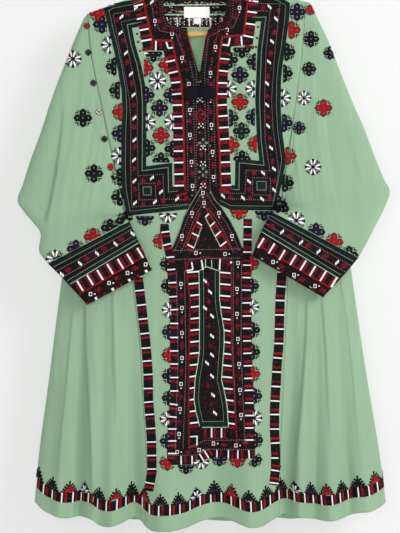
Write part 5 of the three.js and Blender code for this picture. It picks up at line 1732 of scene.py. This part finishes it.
def build_flowers():
    work = Work("edge_flowers", chart_over("sleeve_left", "sleeve_right", "front"))
    work.flowers(*EDGE_FLOWERS)
    work.build()
    for edge, rows in SLEEVE_FLOWERS.items():
        work = Work("sleeve_flowers_" + edge, chart_over("sleeve_" + edge, "front"))
        work.flowers(*rows)
        work.build()


def ring_faces(start, rings, around):
    """The faces between rings of points that follow one another."""
    faces = []
    for k in range(rings):
        a = start + k * around
        for j in range(around):
            after = (j + 1) % around
            faces.append((a + j, a + after, a + around + after, a + around + j))
    return faces


def tube(name, path, radii):
    """A closed round tube along points, with a radius at each."""
    sides = 16
    p = np.array(path, float)
    way = np.gradient(p, axis=0)
    way /= np.linalg.norm(way, axis=1, keepdims=True)
    side = np.cross(way, (0, 1, 0.001))
    side /= np.linalg.norm(side, axis=1, keepdims=True)
    other = np.cross(way, side)
    points = []
    for k in range(len(p)):
        for j in range(sides):
            turn = math.tau * j / sides
            points.append(p[k] + radii[k] * (side[k] * math.cos(turn) + other[k] * math.sin(turn)))
    faces = ring_faces(0, len(p) - 1, sides)
    faces.append(tuple(range(sides))[::-1])
    faces.append(tuple((len(p) - 1) * sides + j for j in range(sides)))
    made = make_mesh(name, points, faces)
    made.data.shade_smooth()
    return made


def build_bow():
    """Two braid loops and a knot, tied on the placket."""
    low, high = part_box("bow")
    centre = (low + high) / 2
    reach, tall = 18.5, 14.5
    rings, around = 12, 14
    points, faces = [], []
    for sign, lean in ((-1, 0.10), (1, -0.06)):
        start = len(points)
        for k in range(rings + 1):
            t = k / rings
            x = sign * (2 + t * (reach * 1.85 - 2))
            half = tall * (0.42 + 0.62 * math.sin(math.pi * min(1, 0.12 + t * 0.86)) ** 0.8)
            if t > 0.9:
                half *= 1 - (t - 0.9) * 5
            thick = 3.4 * (0.75 + 0.25 * math.sin(math.pi * t))
            for j in range(around):
                turn = math.tau * j / around
                wave = 0.5 * math.sin(5 * turn + 3 * t)
                points.append((x * MM, (math.sin(turn) * thick + wave * 0.4) * MM,
                               (math.cos(turn) * half + lean * x) * MM))
        faces.extend(ring_faces(start, rings, around))
        faces.append(tuple(start + j for j in range(around)))
        faces.append(tuple(start + rings * around + j for j in reversed(range(around))))
    start = len(points)
    knot_rings, knot_around = 8, 12
    for k in range(knot_rings + 1):
        t = k / knot_rings * math.pi
        for j in range(knot_around):
            turn = math.tau * j / knot_around
            points.append((5.2 * math.sin(t) * math.cos(turn) * MM,
                           4.9 * math.sin(t) * math.sin(turn) * MM, 7.4 * math.cos(t) * MM))
    faces.extend(ring_faces(start, knot_rings, knot_around))
    made = make_mesh("braid_bow", [Vector(p) + centre for p in points], faces)
    made.data.shade_smooth()
    finish_piece(made, ["bow"], thread_material("ink"))


def build_hanger():
    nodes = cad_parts
    for name in ("hanger_arms", "hanger_bar"):
        nodes[name].data.materials.clear()
        nodes[name].data.materials.append(wood_material())
    for name in ("label", "size_tab"):
        nodes[name].data.materials.clear()
        nodes[name].data.materials.append(plain_material("Label tape", "label", 0.7))
    inner, wire, gap = 0.018, 0.002, 0.0003
    radius = inner + wire
    foot = -(SHOULDER_APEX_DROP + CLOTH_WALL + ARM_CLEARANCE + ARM_TOP_FLAT * HANGER_SLOPE) * MM + gap
    knots = [(0, foot), (0, foot * 0.8), (0.001, foot * 0.65), (0.008, -inner - radius * 0.93)]
    for turn in range(-45, 196, 10):
        angle = math.radians(turn)
        knots.append((radius * math.cos(angle), -inner + radius * math.sin(angle)))
    flat = np.array(knots)
    at = np.concatenate([[0], np.cumsum(np.hypot(*np.diff(flat, axis=0).T))])
    rows = {"at": at, "x": flat[:, 0], "z": flat[:, 1]}
    along = np.linspace(0, at[-1], 120)
    x, z = smooth(rows, "at", "x")(along), smooth(rows, "at", "z")(along)
    c, s = math.cos(HANGER_TILT), math.sin(HANGER_TILT)
    path = np.stack([x * c - z * s, 0 * x, x * s + z * c], 1)
    radii = np.full(len(path), wire)
    radii[-3:] = (wire * 0.97, wire * 0.8, wire * 0.35)
    made = tube("hook_wire", path, radii)
    finish_piece(made, ["hanger_hook"], plain_material("Steel", "steel", 0.25, 1.0))


def add_light(name, at, size, power):
    data = bpy.data.lights.new(name, "AREA")
    data.energy = power
    data.size = size
    obj = bpy.data.objects.new(name, data)
    obj.location = at
    obj.rotation_mode = "QUATERNION"
    obj.rotation_quaternion = (DRESS_MIDDLE - Vector(at)).to_track_quat("-Z", "Y")
    bpy.context.collection.objects.link(obj)


WALL_Y = 0.09
WALL_TOP = 6
WALL_GLOW = 0.6
FLOOR_Z = -1.35
STAGE_HALF = 8
DRESS_MIDDLE = Vector((0, 0, -0.7))
LIGHTS = (("key", (2.6, -2.4, 1.0), 1.8, 92), ("fill", (-0.3, -3.6, -0.5), 1.6, 44),
          ("back_left", (-2.2, 3.0, 0.6), 2.4, 84), ("back_right", (2.4, 2.8, 0.0), 2.4, 60))


def build_stage():
    reach = STAGE_HALF
    wall = make_mesh("stage_wall", [(-reach, WALL_Y, FLOOR_Z), (reach, WALL_Y, FLOOR_Z),
                                    (reach, WALL_Y, WALL_TOP), (-reach, WALL_Y, WALL_TOP)],
                     [(0, 1, 2, 3)])
    wall.data.materials.append(wall_material())
    wall.visible_shadow = False
    floor = make_mesh("stage_floor", [(-reach, -reach, FLOOR_Z), (reach, -reach, FLOOR_Z),
                                      (reach, reach, FLOOR_Z), (-reach, reach, FLOOR_Z)],
                      [(0, 1, 2, 3)])
    floor.data.materials.append(plain_material("Floor", "floor", 0.8))
    for light in LIGHTS:
        add_light(*light)
    world = bpy.data.worlds.new("Studio") if not bpy.data.worlds else bpy.data.worlds[0]
    bpy.context.scene.world = world
    world.use_nodes = True
    background = world.node_tree.nodes["Background"]
    background.inputs["Color"].default_value = (1, 1, 1, 1)
    background.inputs["Strength"].default_value = 0.42
    bpy.context.scene.view_settings.view_transform = "Standard"
    camera = bpy.data.cameras.new("camera")
    camera.lens = LENS
    camera.sensor_width = SENSOR
    obj = bpy.data.objects.new("camera", camera)
    obj.location = EYE
    obj.rotation_euler = (math.pi / 2, 0, 0)
    bpy.context.collection.objects.link(obj)
    bpy.context.scene.camera = obj


class DressLook(bpy.types.PropertyGroup):
    """Colours and reliefs that a user would change."""

    cloth_chest: bpy.props.FloatVectorProperty(
        name="Cloth at the chest", description="Colour of the cloth on the chest and sleeves",
        subtype="COLOR_GAMMA", size=3, min=0, max=1,
        default=tuple(v / 255 for v in PAINT["cloth_chest"]))
    cloth_hem: bpy.props.FloatVectorProperty(
        name="Cloth at the hem", description="Colour of the cloth low on the skirt",
        subtype="COLOR_GAMMA", size=3, min=0, max=1,
        default=tuple(v / 255 for v in PAINT["cloth_hem"]))
    weave_relief: bpy.props.FloatProperty(
        name="Weave relief", description="How far the weave's threads stand out",
        default=0.0002, min=0, max=0.002, precision=5, unit="LENGTH")
    cloth_thinness: bpy.props.FloatProperty(
        name="Thinness", description="Share of the light that passes through the cloth",
        default=0.38, min=0, max=1, subtype="FACTOR")


def operator(name, label, text, build):
    """An operator that builds one group of pieces."""

    def execute(self, context):
        build()
        return {"FINISHED"}

    return type("DRESS_OT_" + name, (bpy.types.Operator,), {
        "bl_idname": "dress." + name, "bl_label": label, "__doc__": text,
        "bl_options": {"REGISTER", "UNDO"}, "execute": execute})


OPERATORS = (
    operator("body_cloth", "Body cloth", "Front, back and gathered side panels", build_body_cloth),
    operator("sleeves", "Sleeves and cuffs", "Two wide sleeves and their cuffs", build_sleeves),
    operator("chest", "Chest panel", "The stitched panel round the neck", build_chest),
    operator("placket", "Placket", "The stitched placket below the slit", build_placket),
    operator("pocket", "Pocket", "The pointed pocket panel", build_pocket),
    operator("strips", "Strips", "The ladders beside the skirt's seams", build_strips),
    operator("cuffs", "Cuff stitching", "Bands on the cuffs", build_cuffs),
    operator("hem", "Hem band", "The band round the hem", build_hem),
    operator("neck_back", "Back of the neck", "Its band outside and its reverse", build_neck_back),
    operator("flowers", "Flowers", "Flowers beside the panel and on the sleeves", build_flowers),
    operator("bow", "Bow", "The small braid bow", build_bow),
    operator("hanger", "Hanger and labels", "Wood, hook and blank labels", build_hanger),
    operator("stage", "Stage", "Wall, floor, lights and camera", build_stage),
)


class DRESS_PT_panel(bpy.types.Panel):
    """Lists the steps that build the dress"""

    bl_label = "Embroidered Dress"
    bl_space_type = "VIEW_3D"
    bl_region_type = "UI"
    bl_category = "Dress"

    def draw(self, context):
        look = context.scene.dress_look
        for name in ("cloth_chest", "cloth_hem", "weave_relief", "cloth_thinness"):
            self.layout.prop(look, name)
        for made in OPERATORS:
            self.layout.operator(made.bl_idname)


CLASSES = (DressLook, *OPERATORS, DRESS_PT_panel)


def register():
    for made in CLASSES:
        bpy.utils.register_class(made)
    bpy.types.Scene.dress_look = bpy.props.PointerProperty(type=DressLook)


def unregister():
    del bpy.types.Scene.dress_look
    for made in reversed(CLASSES):
        bpy.utils.unregister_class(made)


def main():
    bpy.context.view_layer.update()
    register()
    for made in OPERATORS:
        getattr(bpy.ops.dress, made.bl_idname.split(".")[1])()


if __name__ == "__main__":
    main()
